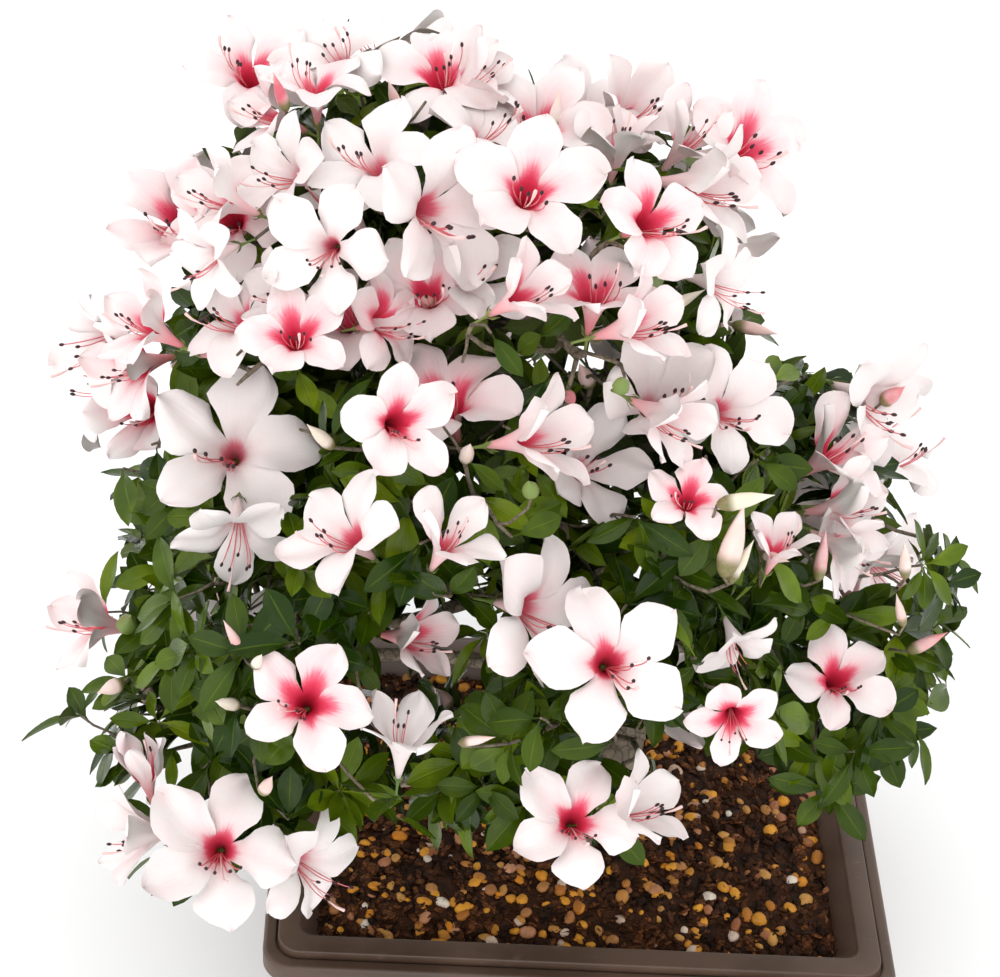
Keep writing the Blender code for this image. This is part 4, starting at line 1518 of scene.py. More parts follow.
def other_blooms(blooms, masses, settings, rng):
    """Blooms by rule on the sides that the picture doesn't show."""
    made = list(blooms)
    for mass in masses:
        kept = 0
        ways = [w for w in spread_ways(BLOOM_TRIES, rng)
                if w.dot(mass.outward) > -0.15 and w.z > -0.35]
        rng.shuffle(ways)
        for way in ways:
            if kept >= settings.blooms_per_mass:
                break
            loose = Vector((rng.uniform(-0.5, 0.5), rng.uniform(-0.5, 0.5), rng.uniform(-0.2, 0.7)))
            facing = (way + loose).normalized()
            word = rng.choice(BLOOM_SORTS)
            width = settings.bloom_width * rng.uniform(0.88, 1.12)
            middle = mass.at(way, rng.uniform(0.86, 1.04))
            foot = middle - facing * RIM_HEIGHTS[word] * width
            if not mass.owns(middle, masses) or not fits_box(middle, 0.42 * width, facing):
                continue
            if any((middle - rim_middle(bloom)).length
                   < FAR_APART * 0.5 * (width + bloom.size) for bloom in made):
                continue
            side = facing.orthogonal().normalized() * 0.4 * width
            across = facing.cross(side)
            probes = [middle, middle + side, middle - side, middle + across, middle - across]
            in_gap = near_gap(*pixel_of(middle), SKY_GAPS, BLOOM_GAP_ROOM)
            if in_gap or any(in_picture(probe, masses) for probe in probes):
                continue
            tone = rng.choice(BLOOM_BLUSHES)
            kind = rng.choice(KINDS_BY_WORD[word])
            up = rise(1) + facing.orthogonal() * 0.3
            made.append(Growth(foot, facing, up, width, kind, tone, mass))
            kept += 1
    return made[len(blooms):]


def rim_middle(bloom):
    word = next(w for w, kinds in KINDS_BY_WORD.items() if bloom.kind in kinds)
    return bloom.foot + bloom.way * RIM_HEIGHTS[word] * bloom.size


def stalk_foot(bloom):
    return bloom.foot - bloom.way * STALK_LENGTH * bloom.size


def fits_box(middle, reach, facing):
    """True if a disc of that reach, and the stamens before it, stay in the model's box."""
    tip = middle + facing * 0.95 * reach
    if not all(BOX_LOW[k] < tip[k] < BOX_HIGH[k] for k in range(3)):
        return False
    for k in range(3):
        spread = reach * math.sqrt(max(0.0, 1 - facing[k] ** 2))
        if not BOX_LOW[k] + spread < middle[k] < BOX_HIGH[k] - spread:
            return False
    return True


def picked_ends(rows, masses):
    """Buds or pods that show in the picture; kind counts on within their own originals."""
    ends = []
    for k, (x, y, heading, lean, span, *rest) in enumerate(rows):
        skin, mass, way = skin_at(x, y, masses)
        pointing = picture_way(heading, lean)
        length = in_metres(span, skin)
        foot = skin - way * 4 * MM - pointing * 0.5 * length
        tone = rest[0] if rest else 0.5
        kind = 2 if span < ROUND_BUD_PIXELS and rest else k % 2
        ends.append(Growth(foot, pointing, UP, length, kind, tone, mass))
    return ends


def limb_points():
    """Points along the trunk and boughs with the radius to keep clear of there."""
    points, radii = [], []
    for low, high in zip(TRUNK_AXIS, TRUNK_AXIS[1:]):
        for k in range(8):
            points.append(Vector(low[0]).lerp(Vector(high[0]), k / 8) * MM)
            radii.append((low[1] + TRUNK_ROOM) * MM)
    for mass in crown_masses()[1:]:
        for point in mass.bough_path(BOUGH_PATH_STEPS):
            points.append(point)
            radii.append(mass.bough_radius + BOUGH_ROOM)
    return rows_of(points), np.array(radii)


def beside_blooms(points, feet, ways):
    """How far points lie along the axis of each bloom, from its foot, and how far off it."""
    away = points[..., None, :] - feet
    along = (away * ways).sum(-1)
    return along, np.linalg.norm(away - along[..., None] * ways, axis=-1)


def leafy_shoots(masses, blooms, settings, rng):
    """Ends of leafy twigs, evenly spread through the outer part of each mass."""
    feet = rows_of(bloom.foot for bloom in blooms)
    ways = rows_of(bloom.way for bloom in blooms)
    limbs, limb_radii = limb_points()
    shoots = []
    for mass in masses:
        tips = []
        for way in spread_ways(SHOOT_TRIES, rng):
            if len(tips) >= settings.shoots_per_mass:
                break
            depth = rng.uniform(0, 1) ** 2
            share = 0.97 - 0.52 * depth
            tip = mass.at(way, share)
            if tip.z < SOIL_TOP + SHOOT_HEIGHT or way.z < -0.75 or not mass.owns(tip, masses):
                continue
            if any((tip - other).length < SHOOT_SPACING for other in tips):
                continue
            along, aside = beside_blooms(np.array(tip), feet, ways)
            low, high, off = BLOOM_FRONT
            if ((along > low) & (along < high) & (aside < off)).any():
                continue
            apart = np.linalg.norm(limbs - np.array(tip), axis=1)
            if (apart < limb_radii + SHOOT_LIMB_ROOM).any():
                continue
            clump = noise.noise(tip / CLUMP_SIZE)
            if share > CLUMPS_FROM and clump < OPEN_BELOW:
                continue
            x, y = pixel_of(tip)
            # The edge is ragged, and drawn in where the clumps are thin
            margin = rng.uniform(2, 18) + 60 * max(0.0, -clump)
            in_outline = inside(LEAF_OUTLINE, *outward_pixels(x, y, margin))
            if near_gap(x, y, SKY_GAPS, SHOOT_GAP_ROOM) or not in_outline:
                continue
            hidden = share > HIDDEN_FROM and rng.random() > LEAVES_IN_BLOSSOM
            if hidden and in_ellipses(x, y, BLOSSOM_ZONES) and in_picture(tip, masses):
                continue
            tips.append(tip)
            shoots.append(Shoot(tip, (way + rise(0.4)).normalized(), mass))
    return shoots


class Leaf(NamedTuple):
    """One leaf, from the foot of its stalk along its way, with its face up."""
    foot: Vector
    way: Vector
    face: Vector
    length: float
    tone: float


def whorl(shoot, settings, rng):
    """A star of leaves at a shoot's tip with a few more below it."""
    side = shoot.way.orthogonal().normalized()
    across = shoot.way.cross(side)
    age = rng.uniform(0.0, 0.74)
    star = rng.choice(STAR_LEAVES)
    below = rng.choice(LEAVES_BELOW)
    start = rng.uniform(0, 2 * math.pi)
    for k in range(star + below):
        low = max(0, k - star + 1)
        angle = start + GOLDEN_ANGLE * k if low else start + 2 * math.pi * k / star
        angle += rng.uniform(-0.25, 0.25)
        out = side * math.cos(angle) + across * math.sin(angle)
        lift = rng.uniform(0.0, 0.85) - 0.1 * low
        way = (out + shoot.way * lift).normalized()
        face = (shoot.way - way * shoot.way.dot(way)).normalized()
        face = face + side * rng.uniform(-0.5, 0.5) + across * rng.uniform(-0.5, 0.5)
        foot = shoot.tip - shoot.way * (low * LEAF_DROP) + out * 0.8 * MM
        length = settings.leaf_length * rng.uniform(0.66, 1.08)
        tone = min(1.0, max(0.0, age + rng.uniform(-0.2, 0.2) - 0.05 * low))
        yield Leaf(foot, way, face, length, tone)


def inside(outline, x, y):
    """True for the pixels inside an outline in the picture."""
    within = np.zeros(len(x), bool)
    for (x1, y1), (x2, y2) in zip(outline, outline[1:] + outline[:1]):
        if y1 != y2:
            within ^= ((y1 > y) != (y2 > y)) & (x < (x2 - x1) * (y - y1) / (y2 - y1) + x1)
    return within


def clear_leaves(leaves, blooms, picked):
    """Drops the leaves that cross a bloom, a limb, a gap or the model's box."""
    feet = rows_of(leaf.foot for leaf in leaves)
    ways = rows_of(leaf.way * leaf.length for leaf in leaves)
    keep = np.ones(len(leaves), bool)
    limbs, limb_radii = limb_points()
    bloom_feet = rows_of(bloom.foot for bloom in blooms)
    bloom_ways = rows_of(bloom.way for bloom in blooms)
    widths = np.array([bloom.size for bloom in blooms])
    rim_x, rim_y, rim_depth = pixels_of(rows_of(rim_middle(bloom) for bloom in picked))
    rim_pixels = np.array([bloom.size for bloom in picked]) * FOCAL_PIXELS / rim_depth
    limb_x, limb_y, limb_depth = pixels_of(limbs)
    low, high = np.array(BOX_LOW) + LEAF_ROOM, np.array(BOX_HIGH) - LEAF_ROOM
    at_foot, wider, mouth, top = BLOOM_INSIDE
    for share in (0.25, 0.6, 1.0):
        points = feet + ways * share
        keep &= ((points > low) & (points < high)).all(1)
        keep &= points[:, 2] > SOIL_TOP + LEAF_ROOM
        along, aside = beside_blooms(points, bloom_feet, bloom_ways)
        half = widths * (at_foot + wider * np.clip(along / (mouth * widths), 0, 1))
        keep &= ~((along > 0) & (along < top * widths) & (aside < half)).any(1)
        gaps = np.linalg.norm(points[:, None] - limbs[None], axis=2) - limb_radii[None]
        keep &= ~(gaps < 0).any(1)
        x, y, depth = pixels_of(points)
        if share < 0.7:
            keep &= inside(LEAF_OUTLINE, x, y)
        for gap_x, gap_y, radius in SKY_GAPS:
            keep &= np.hypot(x - gap_x, y - gap_y) > radius
        for gap_x, gap_y, radius in LIMB_GAPS:
            limb = np.argmin(np.hypot(limb_x - gap_x, limb_y - gap_y))
            in_gap = np.hypot(x - gap_x, y - gap_y) < radius
            keep &= ~(in_gap & (depth < limb_depth[limb]))
        over = np.hypot(x[:, None] - rim_x, y[:, None] - rim_y) < FACE_SHARE * rim_pixels
        keep &= ~(over & (depth[:, None] < rim_depth + 5 * MM)).any(1)
    return [leaf for leaf, kept in zip(leaves, keep) if kept]


class Crown:
    """Everything that grows in the crown, worked out once."""

    def __init__(self, settings):
        rng = random.Random(SEED)
        self.masses = crown_masses()
        picked = picked_blooms(self.masses, rng)
        picked += filling_blooms(picked, self.masses, rng)
        self.blooms = picked + other_blooms(picked, self.masses, settings, rng)
        self.buds = picked_ends(FRONT_BUDS, self.masses)
        self.pods = picked_ends(FRONT_PODS, self.masses)
        self.shoots = leafy_shoots(self.masses, self.blooms, settings, rng)
        self.buds += self.shoot_buds(rng)
        leaves = [leaf for shoot in self.shoots for leaf in whorl(shoot, settings, rng)]
        for bloom in self.blooms:
            ring = list(whorl(Shoot(stalk_foot(bloom), bloom.way, bloom.mass), settings, rng))
            leaves += rng.sample(ring, LEAVES_UNDER_BLOOM)
        self.leaves = clear_leaves(leaves, self.blooms, picked)

    def shoot_buds(self, rng):
        """Small buds in the middle of some of the whorls."""
        buds = []
        for shoot in self.shoots:
            if rng.random() < BUD_SHARE:
                length = rng.uniform(9, 22) * MM
                least = ROUND_BUD_BLUSH if length < ROUND_BUD else 0
                tone = max(rng.choice((0.1, 0.3, 0.6, 0.9)), least)
                foot = shoot.tip - shoot.way * 2 * MM
                way = (shoot.way + rise(0.3)).normalized()
                kind = rng.choice((0, 1)) if length > ROUND_BUD else 2
                buds.append(Growth(foot, way, UP, length, kind, tone, shoot.mass))
        return buds


@functools.lru_cache(maxsize=1)
def crown():
    return Crown(bpy.context.scene.bonsai_crown)


# Twigs

TWIG_TIP_RADIUS = 0.62 * MM
# A twig's radius grows with the load it bears to this power; a bloom's load against a whorl's
TWIG_GROWTH = 0.4
BLOOM_LOAD = 1.6
TWIG_STEP = 8 * MM
THICK_TWIG = 1.8 * MM


class TwigTree:
    """Twigs of one mass: each end joins the nearest point that has grown already."""

    def __init__(self, mass):
        self.points = []
        self.parents = []
        self.lengths = []
        self.loads = []
        self.chains = []
        first = [mass.stem_start.lerp(mass.centre, k / 5) for k in range(6)]
        self.chain(None, [first[0] - mass.stem_direction * 4 * MM] + first)

    def chain(self, root, points):
        indices = [] if root is None else [root]
        for point in points:
            before = indices[-1] if indices else None
            step = (point - self.points[before]).length if indices else 0.0
            indices.append(len(self.points))
            self.points.append(point)
            self.parents.append(before)
            self.lengths.append((self.lengths[before] if before is not None else 0) + step)
            self.loads.append(0.0)
        self.chains.append(indices)

    def grow_to(self, end, way, load):
        """A curved twig to an end, from the point that gives the shortest way there."""
        def cost(i):
            to_end = end - self.points[i]
            back = max(0.0, -to_end.normalized().dot(way)) if to_end.length > 1e-6 else 0
            return to_end.length * (1 + back) + 0.35 * self.lengths[i]
        root = min(range(1, len(self.points)), key=cost)
        start = self.points[root]
        gap = (end - start).length
        parent = self.parents[root]
        onward = (start - self.points[parent]).normalized()
        steps = max(2, round(gap / TWIG_STEP))
        controls = [start, start + onward * 0.25 * gap, end - way * 0.35 * gap, end]
        path = bezier(controls, steps)[1:]
        shake = 0.07 * min(gap, 40 * MM)
        for k in range(len(path) - 1):
            path[k] = path[k] + shake * wander_at(path[k] * 90)
        self.chain(root, path)
        node = len(self.points) - 1
        while node is not None:
            self.loads[node] += load
            node = self.parents[node]

    def add_to(self, shape):
        radii = [TWIG_TIP_RADIUS * max(load, 1) ** TWIG_GROWTH for load in self.loads]
        for chain in self.chains:
            if len(chain) < 3:
                continue
            own = [radii[i] for i in chain]
            own[0] = min(own[0], own[1] * 1.25)
            sides = 8 if own[0] > THICK_TWIG else 5
            shape.add(*tube([self.points[i] for i in chain], own, sides))


class BONSAI_OT_twigs(bpy.types.Operator):
    """Grow the twigs from each bough's end to its blooms, buds and leaves"""
    bl_idname = "bonsai.twigs"
    bl_label = "Twigs"

    def execute(self, context):
        plan = crown()
        shape = Shape()
        for mass in plan.masses:
            tree = TwigTree(mass)
            ends = [(s.tip, s.way, 1.0) for s in plan.shoots if s.mass is mass]
            ends += [(stalk_foot(b), b.way, BLOOM_LOAD) for b in plan.blooms if b.mass is mass]
            ends += [(g.foot, g.way, 1.0) for g in plan.buds + plan.pods if g.mass is mass]
            ends.sort(key=lambda end: (end[0] - mass.stem_start).length)
            for tip, way, load in ends:
                tree.grow_to(tip, way, load)
            tree.add_to(shape)
        settings = context.scene.bonsai_limbs
        bark = bark_finish("twig_bark", scaled(settings.colour, 0.8), TWIG_CRACK_COLOUR, 1.0)
        names = ["mass_" + mass.name for mass in plan.masses]
        add_piece("twigs", shape.mesh("twigs"), bark, "bark", *names)
        return {"FINISHED"}


# Leaves

LEAF_KINDS = 6
LEAF_ROWS, LEAF_COLUMNS = 8, 4


def leaf_original(seed):
    """One leaf, 1 long from its stalk to its point along +X, with its face up."""
    rng = random.Random(seed)
    width = rng.uniform(0.38, 0.5)
    droop = rng.uniform(-0.04, 0.28)
    fold = rng.uniform(0.12, 0.5)
    twist = rng.uniform(-0.25, 0.25)
    verts, uvs = [], []
    for i in range(LEAF_ROWS + 1):
        t = i / LEAF_ROWS
        body = max(0.0, (t - 0.1) / 0.9)
        outline = width * 0.5 * math.sin(math.pi * body ** 1.2) ** 0.8 if body < 1 else 0.0
        half = max(outline, 0.018 if t < 0.5 else 0.004)
        for j in range(LEAF_COLUMNS + 1):
            v = 2 * j / LEAF_COLUMNS - 1
            lift = fold * abs(v) * half - droop * t * t + 0.03 * math.sin(7 * t) * abs(v)
            verts.append(Vector((t, v * half, lift + twist * v * half * t)))
            uvs.append((0.5 + 0.5 * v, t))
    return Shape(verts, grid_faces(LEAF_ROWS, LEAF_COLUMNS)).mesh("leaf", uvs)


def leaf_turn(leaf):
    """The quaternion that lays a leaf's length along its way with its face up."""
    x = leaf.way.normalized()
    y = leaf.face.cross(x).normalized()
    return Matrix((x, y, x.cross(y))).transposed().to_quaternion()


class BONSAI_OT_leaves(bpy.types.Operator):
    """Put the leaves on their twigs"""
    bl_idname = "bonsai.leaves"
    bl_label = "Leaves"

    def execute(self, context):
        settings = context.scene.bonsai_crown
        material = leaf_finish(settings.leaf_dark, settings.leaf_light)
        rng = random.Random(SEED + 1)
        copies = [
            (leaf.foot, leaf_turn(leaf), leaf.length, rng.randrange(LEAF_KINDS), leaf.tone)
            for leaf in sorted(crown().leaves, key=lambda leaf: leaf.foot.z)]
        for name, share in shares(copies, "leaves_low", "leaves_middle", "leaves_high"):
            originals = [leaf_original(seed) for seed in range(LEAF_KINDS)]
            add_copies(name, share, originals, material)
        return {"FINISHED"}


def shares(copies, *names):
    """Copies, lowest first, dealt into named shares of equal size."""
    for k, name in enumerate(names):
        yield name, copies[len(copies) * k // len(names):len(copies) * (k + 1) // len(names)]


# Blossom

PETAL_ROWS, PETAL_COLUMNS = 17, 10
PETAL_LENGTH = 56.0
# Above 1, the rows lie closer together towards a petal's round tip
TIP_CROWDING = 1.35
# A bloom's tube: share of its petals' length, and slope in degrees at its foot and mouth
TUBE_SHARE = 0.34
FOOT_ANGLE = 8.0
TUBE_ANGLE = 20.0
# Width in mm of the bloom as drawn here, brought to 1 in its mesh
BLOOM_UNIT = 72.5
# Blooms whose petals reach a steeper slope than this in degrees have wide, curling ones
SPREADING = 30
FILAMENT_STEPS = 9
# Buds and pods: half their width as a share of their length, and the swirl in radians
BUD_FORMS = ((0.125, 1.6), (0.145, -1.3), (0.26, 0.8))
POD_FORMS = ((0.4, 0.4), (0.36, -0.3))


def petal_path(end_angle, curl):
    """Rows along a petal's midline: its share, reach and height in mm, slope in degrees."""
    reach, height, angle = 1.4, 0.0, FOOT_ANGLE
    rows = [(0.0, reach, height, angle)]
    steps = PETAL_ROWS * 8
    step = PETAL_LENGTH / steps
    for i in range(steps):
        s = (i + 0.5) / steps
        t = max(0.0, (s - TUBE_SHARE) / (1 - TUBE_SHARE))
        angle = FOOT_ANGLE + (TUBE_ANGLE - FOOT_ANGLE) * min(1, s / TUBE_SHARE)
        angle += (end_angle - TUBE_ANGLE) * float(smoothstep(0, 0.55, t))
        angle += curl * max(0, t - 0.55) ** 1.3
        reach += math.sin(math.radians(angle)) * step
        height += math.cos(math.radians(angle)) * step
        if (i + 1) / steps > 0.999 - (1 - len(rows) / PETAL_ROWS) ** TIP_CROWDING:
            rows.append(((i + 1) / steps, reach, height, angle))
    return rows


def lobe_width(t, widest, point):
    """Half the width in mm of a petal's free part, from its base at 0 to its tip at 1."""
    base, middle = 4.8, 0.56
    if t < middle:
        return base + (widest - base) * math.sin(0.5 * math.pi * t / middle) ** 1.1
    return widest * max(0.0, 1 - ((t - middle) / (1 - middle)) ** 2.0) ** point + 0.12


def bloom_original(seed, opening):
    """One bloom, 1 wide, opening to +Z with its marked petal to +Y."""
    rng = random.Random(seed)
    uvs, verts, faces, blush = [], [], [], []
    for petal in range(5):
        middle = math.pi / 2 + 2 * math.pi * petal / 5
        away = min(petal, 5 - petal)
        end_angle = opening + rng.uniform(-16, 14)
        path = petal_path(end_angle, rng.uniform(0, 150) if opening > SPREADING else -60)
        widest = (13.4 if opening > SPREADING else 9.4) * rng.uniform(0.82, 1.12)
        point = rng.uniform(0.5, 0.86)
        cup = rng.uniform(-5.5, 3.0)
        crease = rng.uniform(0.6, 2.4)
        wave, phase = rng.uniform(1.2, 3.2), rng.uniform(0, 6.28)
        sway = rng.uniform(-4.2, 4.2)
        twist = rng.uniform(-0.3, 0.3)
        uneven = rng.uniform(-0.14, 0.14)
        pale = (0.0, 0.05, 0.15)[away] + rng.uniform(-0.03, 0.03)
        faces += grid_faces(PETAL_ROWS, PETAL_COLUMNS, len(verts))
        for s, reach, height, angle in path:
            t = max(0.0, (s - TUBE_SHARE) / (1 - TUBE_SHARE))
            fused = reach * math.tan(math.pi / 5)
            lobe = min(fused * 1.01, lobe_width(t, widest, point))
            free = float(smoothstep(0.0, 0.22, t))
            slope = math.radians(angle)
            for j in range(PETAL_COLUMNS + 1):
                v = 2 * j / PETAL_COLUMNS - 1
                turn = middle + v * math.pi / 5
                on_tube = Vector((reach * math.cos(turn), reach * math.sin(turn), height))
                ruffle = wave * t * v * v * math.sin(phase + 11 * s + 3 * v)
                ruffle += 0.5 * wave * t * math.sin(2 * phase + 7 * s + 4 * v)
                channel = -crease * (1 - abs(v)) ** 2 * free * (1 - 0.6 * t)
                inward = (cup * v * v + twist * lobe * v * t) * free + ruffle + channel
                inward += 0.4 * (petal % 3) * free
                out = reach - math.cos(slope) * inward
                up = height + math.sin(slope) * inward
                frill = 1 + 0.05 * free * math.sin(3 * phase + 24 * s + 2 * v)
                aside = lobe * v * (1 + uneven * v * free) * frill + sway * t * t
                flat = Vector((
                    out * math.cos(middle) - aside * math.sin(middle),
                    out * math.sin(middle) + aside * math.cos(middle), up))
                verts.append(on_tube.lerp(flat, free) / BLOOM_UNIT)
                uvs.append((petal + 0.5 + 0.5 * v, s))
                blush.append(1 - pale - s - 0.24 * abs(v) ** 1.5 * free)
    mesh = Shape(verts, faces, blush=blush).mesh("bloom", uvs)
    bm = bmesh.new()
    bm.from_mesh(mesh)
    bmesh.ops.remove_doubles(bm, verts=bm.verts, dist=1e-5)
    bm.to_mesh(mesh)
    bm.free()
    return mesh


def stamen_paths(seed, spread):
    """The five filaments and the style of a bloom: paths in mm and whether it is the style."""
    rng = random.Random(seed)
    lean = -math.pi / 2 + rng.uniform(-0.5, 0.5)
    for k in range(6):
        style = k == 5
        angle = lean + (k - 2) * 0.38 + rng.uniform(-0.12, 0.12)
        out = rng.uniform(8, 18) * spread
        height = rng.uniform(35, 47)
        if style:
            angle, out, height = lean + rng.uniform(-0.4, 0.4), 17 * spread, 55
        way = level_way(angle)
        end = way * out + Vector((0, 2.5, height))
        controls = [
            rise(3) + way, Vector((0, -0.5, 17)),
            way * out * 0.95 + Vector((0, -1.5, height * 0.72)), end]
        yield bezier(controls, FILAMENT_STEPS), style


def bloom_tube(points, girths, sides):
    """A tube with sizes in mm, brought to the unit of a bloom's mesh."""
    return tube([p / BLOOM_UNIT for p in points], [g / BLOOM_UNIT for g in girths], sides)


def stamen_originals(seed, spread):
    """The filaments and style of a bloom, and its anthers, as two meshes."""
    threads, anthers = Shape(), Shape()
    for path, style in stamen_paths(seed, spread):
        radius = 0.46 if style else 0.42
        radii = [radius * (1 - 0.3 * i / FILAMENT_STEPS) for i in range(len(path))]
        if style:
            radii[-1], radii[-2] = 1.0, 0.75
        verts, faces = bloom_tube(path, radii, 5)
        threads.add(verts, faces, pale=[float(style)] * len(verts))
        if not style:
            way = (path[-1] - path[-2]).normalized()
            spine = [path[-1] + way * (0.62 * k - 1.0) for k in range(6)]
            anthers.add(*bloom_tube(spine, (0.35, 0.75, 0.92, 0.9, 0.75, 0.35), 7))
    return threads.mesh("threads"), anthers.mesh("anthers")


def calyx_original(seed):
    """The stalk under a bloom with its small pointed sepals."""
    rng = random.Random(seed)
    stalk = [rise(z) for z in (-12.6, -9, -5, -2, 0, 1.5)]
    shape = Shape(*bloom_tube(stalk, (0.9, 0.8, 0.85, 1.2, 2.0, 1.5), 7))
    for k in range(5):
        angle = 2 * math.pi * (k + 0.5) / 5
        out = level_way(angle)
        side = Vector((-out.y, out.x, 0))
        length = rng.uniform(5, 8)
        foot = out * 1.4 - rise(0.6)
        tip = foot + out * length * 0.55 + rise(length * 0.85)
        belly = foot.lerp(tip, 0.45) + out * 0.6
        verts = [foot - side * 0.8, foot + side * 0.8, belly + side * 1.35, belly - side * 1.35,
                 belly + out * 0.5, tip]
        faces = [(0, 1, 4), (1, 2, 4), (3, 0, 4), (2, 5, 4), (5, 3, 4)]
        shape.add([v / BLOOM_UNIT for v in verts], faces)
    return shape.mesh("calyx")


def bud_original(slim, swirl):
    """A bud 1 long, with its petals rolled in a spiral, and scales round its foot."""
    rings, sides = 16, 15
    verts, along = [], []
    for i in range(rings + 1):
        t = i / rings
        body = math.sin(math.pi * (0.05 + 0.95 * t ** 0.72)) ** (0.7 + 0.55 * t)
        for j in range(sides):
            angle = 2 * math.pi * j / sides
            groove = 1 - 0.1 * abs(math.cos(2.5 * (angle + swirl * t))) ** 4 * (t > 0.2)
            step = 1.08 if t < 0.3 else 1.0
            radius = slim * body * groove * step + 0.004
            verts.append(Vector((radius * math.cos(angle), radius * math.sin(angle), t)))
            along.append(t)
    ends = [range(sides)[::-1], range(rings * sides, (rings + 1) * sides)]
    return Shape(verts, [*ring_faces(rings + 1, sides), *ends], along=along).mesh("bud")


def copies_of(growths):
    return [(g.foot, turn_of(g.way, g.up), g.size, g.kind, g.tone) for g in growths]


class BONSAI_OT_blossom(bpy.types.Operator):
    """Put the blooms with their stamens and stalks, the buds and the pods on their twigs"""
    bl_idname = "bonsai.blossom"
    bl_label = "Blossom"

    def execute(self, context):
        settings = context.scene.bonsai_crown
        plan = crown()
        blooms = copies_of(sorted(plan.blooms, key=lambda bloom: bloom.foot.z))
        petals = petal_finish(settings.petal, settings.throat)
        for name, share in shares(blooms, "petals_low", "petals_middle"):
            originals = [bloom_original(seed, angle) for seed, angle in enumerate(OPENINGS)]
            add_copies(name, share, originals, petals)
        opened = KINDS_BY_WORD["open"]
        threads, anthers = zip(*(
            stamen_originals(seed, 1.0 if seed in opened else 0.6)
            for seed in range(len(OPENINGS))))
        calyxes = [calyx_original(seed) for seed in range(len(OPENINGS))]
        buds = [bud_original(*form) for form in BUD_FORMS]
        pods = [bud_original(*form) for form in POD_FORMS]
        green = green_finish()
        add_copies("stamens", blooms, threads, stamen_finish())
        add_copies("anthers", blooms, anthers, anther_finish())
        add_copies("flower_stalks", blooms, calyxes, green)
        add_copies("buds", copies_of(plan.buds), buds, bud_finish(settings.petal))
        add_copies("seed_pods", copies_of(plan.pods), pods, green)
        return {"FINISHED"}


# Stage

# Soft lights: name, place, target, width, and share of the light's power
LIGHTS = (
    ("key", (-1.2, -0.9, 2.6), (0, 0.1, 0.2), 2.4, 1.0),
    ("fill", (2.2, 0.8, 2.2), (0, 0.1, 0.1), 2.4, 0.4),
    ("front", (-0.4, -2.2, 1.3), (0, 0, 0.3), 1.8, 0.86),
)


def look_matrix():
    matrix = Matrix((RIGHT, UP, -FORWARD)).transposed().to_4x4()
    matrix.translation = CAMERA_PLACE
    return matrix


def add_light(name, place, target, size, power):
    light = bpy.data.lights.new(name, "AREA")
    light.shape = "DISK"
    light.size = size
    light.energy = power
    obj = new_object(name, light)
    obj.location = place
    obj.rotation_euler = (Vector(target) - Vector(place)).to_track_quat("-Z", "Y").to_euler()


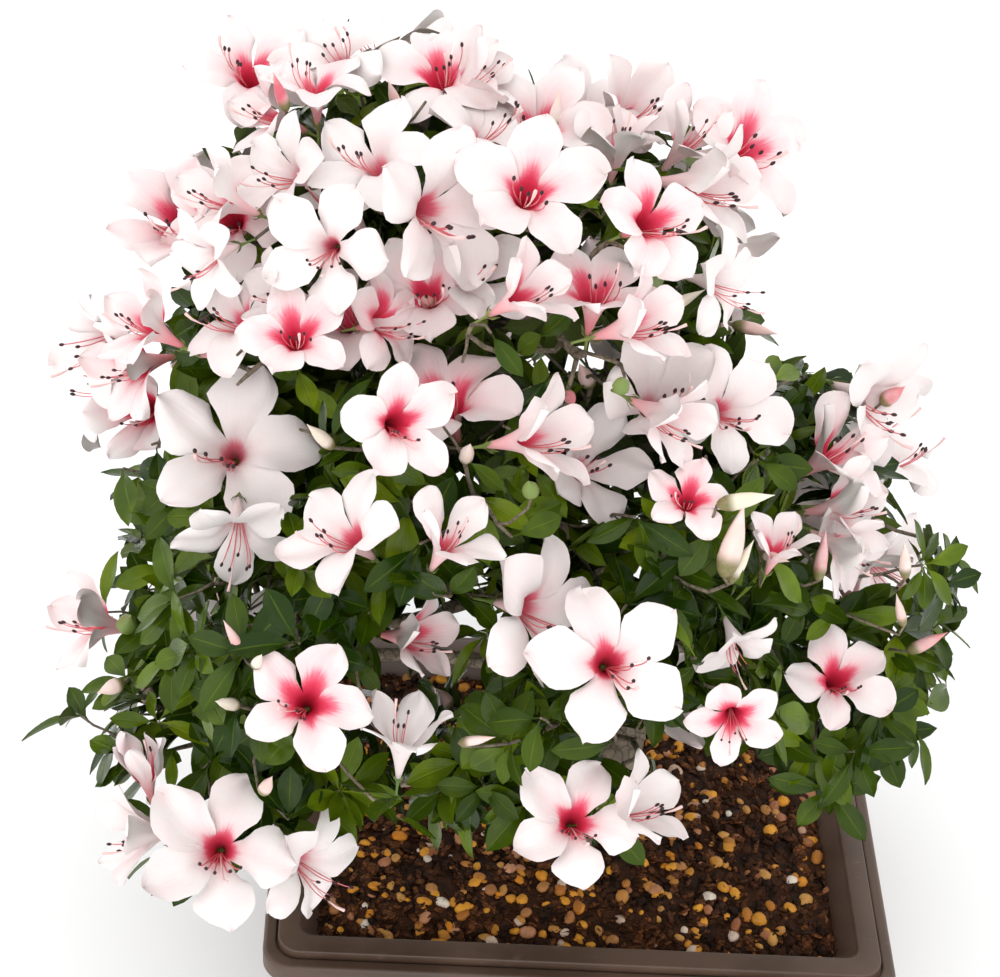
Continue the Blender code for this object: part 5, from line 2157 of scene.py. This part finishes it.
class BONSAI_OT_stage(bpy.types.Operator):
    """Set up the pale floor, the soft light and the camera"""
    bl_idname = "bonsai.stage"
    bl_label = "Stage"

    def execute(self, context):
        settings = context.scene.bonsai_stage
        half = settings.floor_size / 2
        corners = [(-half, -half, 0), (half, -half, 0), (half, half, 0), (-half, half, 0)]
        floor = new_object("floor", Shape(corners, [(0, 1, 2, 3)]).mesh("floor"))
        floor.data.materials.append(floor_finish())
        world = bpy.data.worlds.new("studio")
        world.use_nodes = True
        background = world.node_tree.nodes["Background"]
        background.inputs["Color"].default_value = (1, 1, 1, 1)
        background.inputs["Strength"].default_value = settings.sky
        context.scene.world = world
        context.scene.view_settings.view_transform = "Standard"
        for name, place, target, size, share in LIGHTS:
            add_light(name, place, target, size, share * settings.light_power)
        camera = bpy.data.cameras.new("camera")
        camera.sensor_fit = "HORIZONTAL"
        camera.sensor_width = SENSOR_WIDTH
        camera.lens = FOCAL_PIXELS * SENSOR_WIDTH / PICTURE_WIDTH
        camera.shift_x = (PICTURE_WIDTH / 2 - VIEW_CENTRE_X) / PICTURE_WIDTH
        camera.clip_start = 0.01
        viewer = new_object("camera", camera)
        viewer.matrix_world = look_matrix()
        context.scene.camera = viewer
        return {"FINISHED"}


class BONSAI_PT_panel(bpy.types.Panel):
    """Lists the pieces with the sizes and colours that can be changed"""
    bl_idname = "BONSAI_PT_panel"
    bl_label = "Azalea Bonsai"
    bl_space_type = "VIEW_3D"
    bl_region_type = "UI"
    bl_category = "Bonsai"

    def draw(self, context):
        for operators, holder in PANEL_ROWS:
            box = self.layout.box()
            for operator in operators:
                box.operator(operator)
            settings = getattr(context.scene, holder)
            for name in settings.__annotations__:
                box.prop(settings, name)


PANEL_ROWS = (
    (("bonsai.stage",), "bonsai_stage"),
    (("bonsai.pot",), "bonsai_pot"),
    (("bonsai.soil",), "bonsai_soil"),
    (("bonsai.limbs",), "bonsai_limbs"),
    (("bonsai.twigs", "bonsai.leaves", "bonsai.blossom"), "bonsai_crown"),
)
SETTINGS = {
    "bonsai_stage": StageSettings,
    "bonsai_pot": PotSettings,
    "bonsai_soil": SoilSettings,
    "bonsai_limbs": LimbSettings,
    "bonsai_crown": CrownSettings,
}
CLASSES = (
    *SETTINGS.values(),
    BONSAI_OT_stage, BONSAI_OT_pot, BONSAI_OT_soil, BONSAI_OT_limbs,
    BONSAI_OT_twigs, BONSAI_OT_leaves, BONSAI_OT_blossom, BONSAI_PT_panel,
)


def register():
    for cls in CLASSES:
        bpy.utils.register_class(cls)
    for name, cls in SETTINGS.items():
        setattr(bpy.types.Scene, name, PointerProperty(type=cls))


def unregister():
    for name in SETTINGS:
        delattr(bpy.types.Scene, name)
    for cls in reversed(CLASSES):
        bpy.utils.unregister_class(cls)


def main():
    register()
    bpy.ops.bonsai.stage()
    bpy.ops.bonsai.pot()
    bpy.ops.bonsai.soil()
    bpy.ops.bonsai.limbs()
    bpy.ops.bonsai.twigs()
    bpy.ops.bonsai.leaves()
    bpy.ops.bonsai.blossom()


if __name__ == "__main__":
    main()
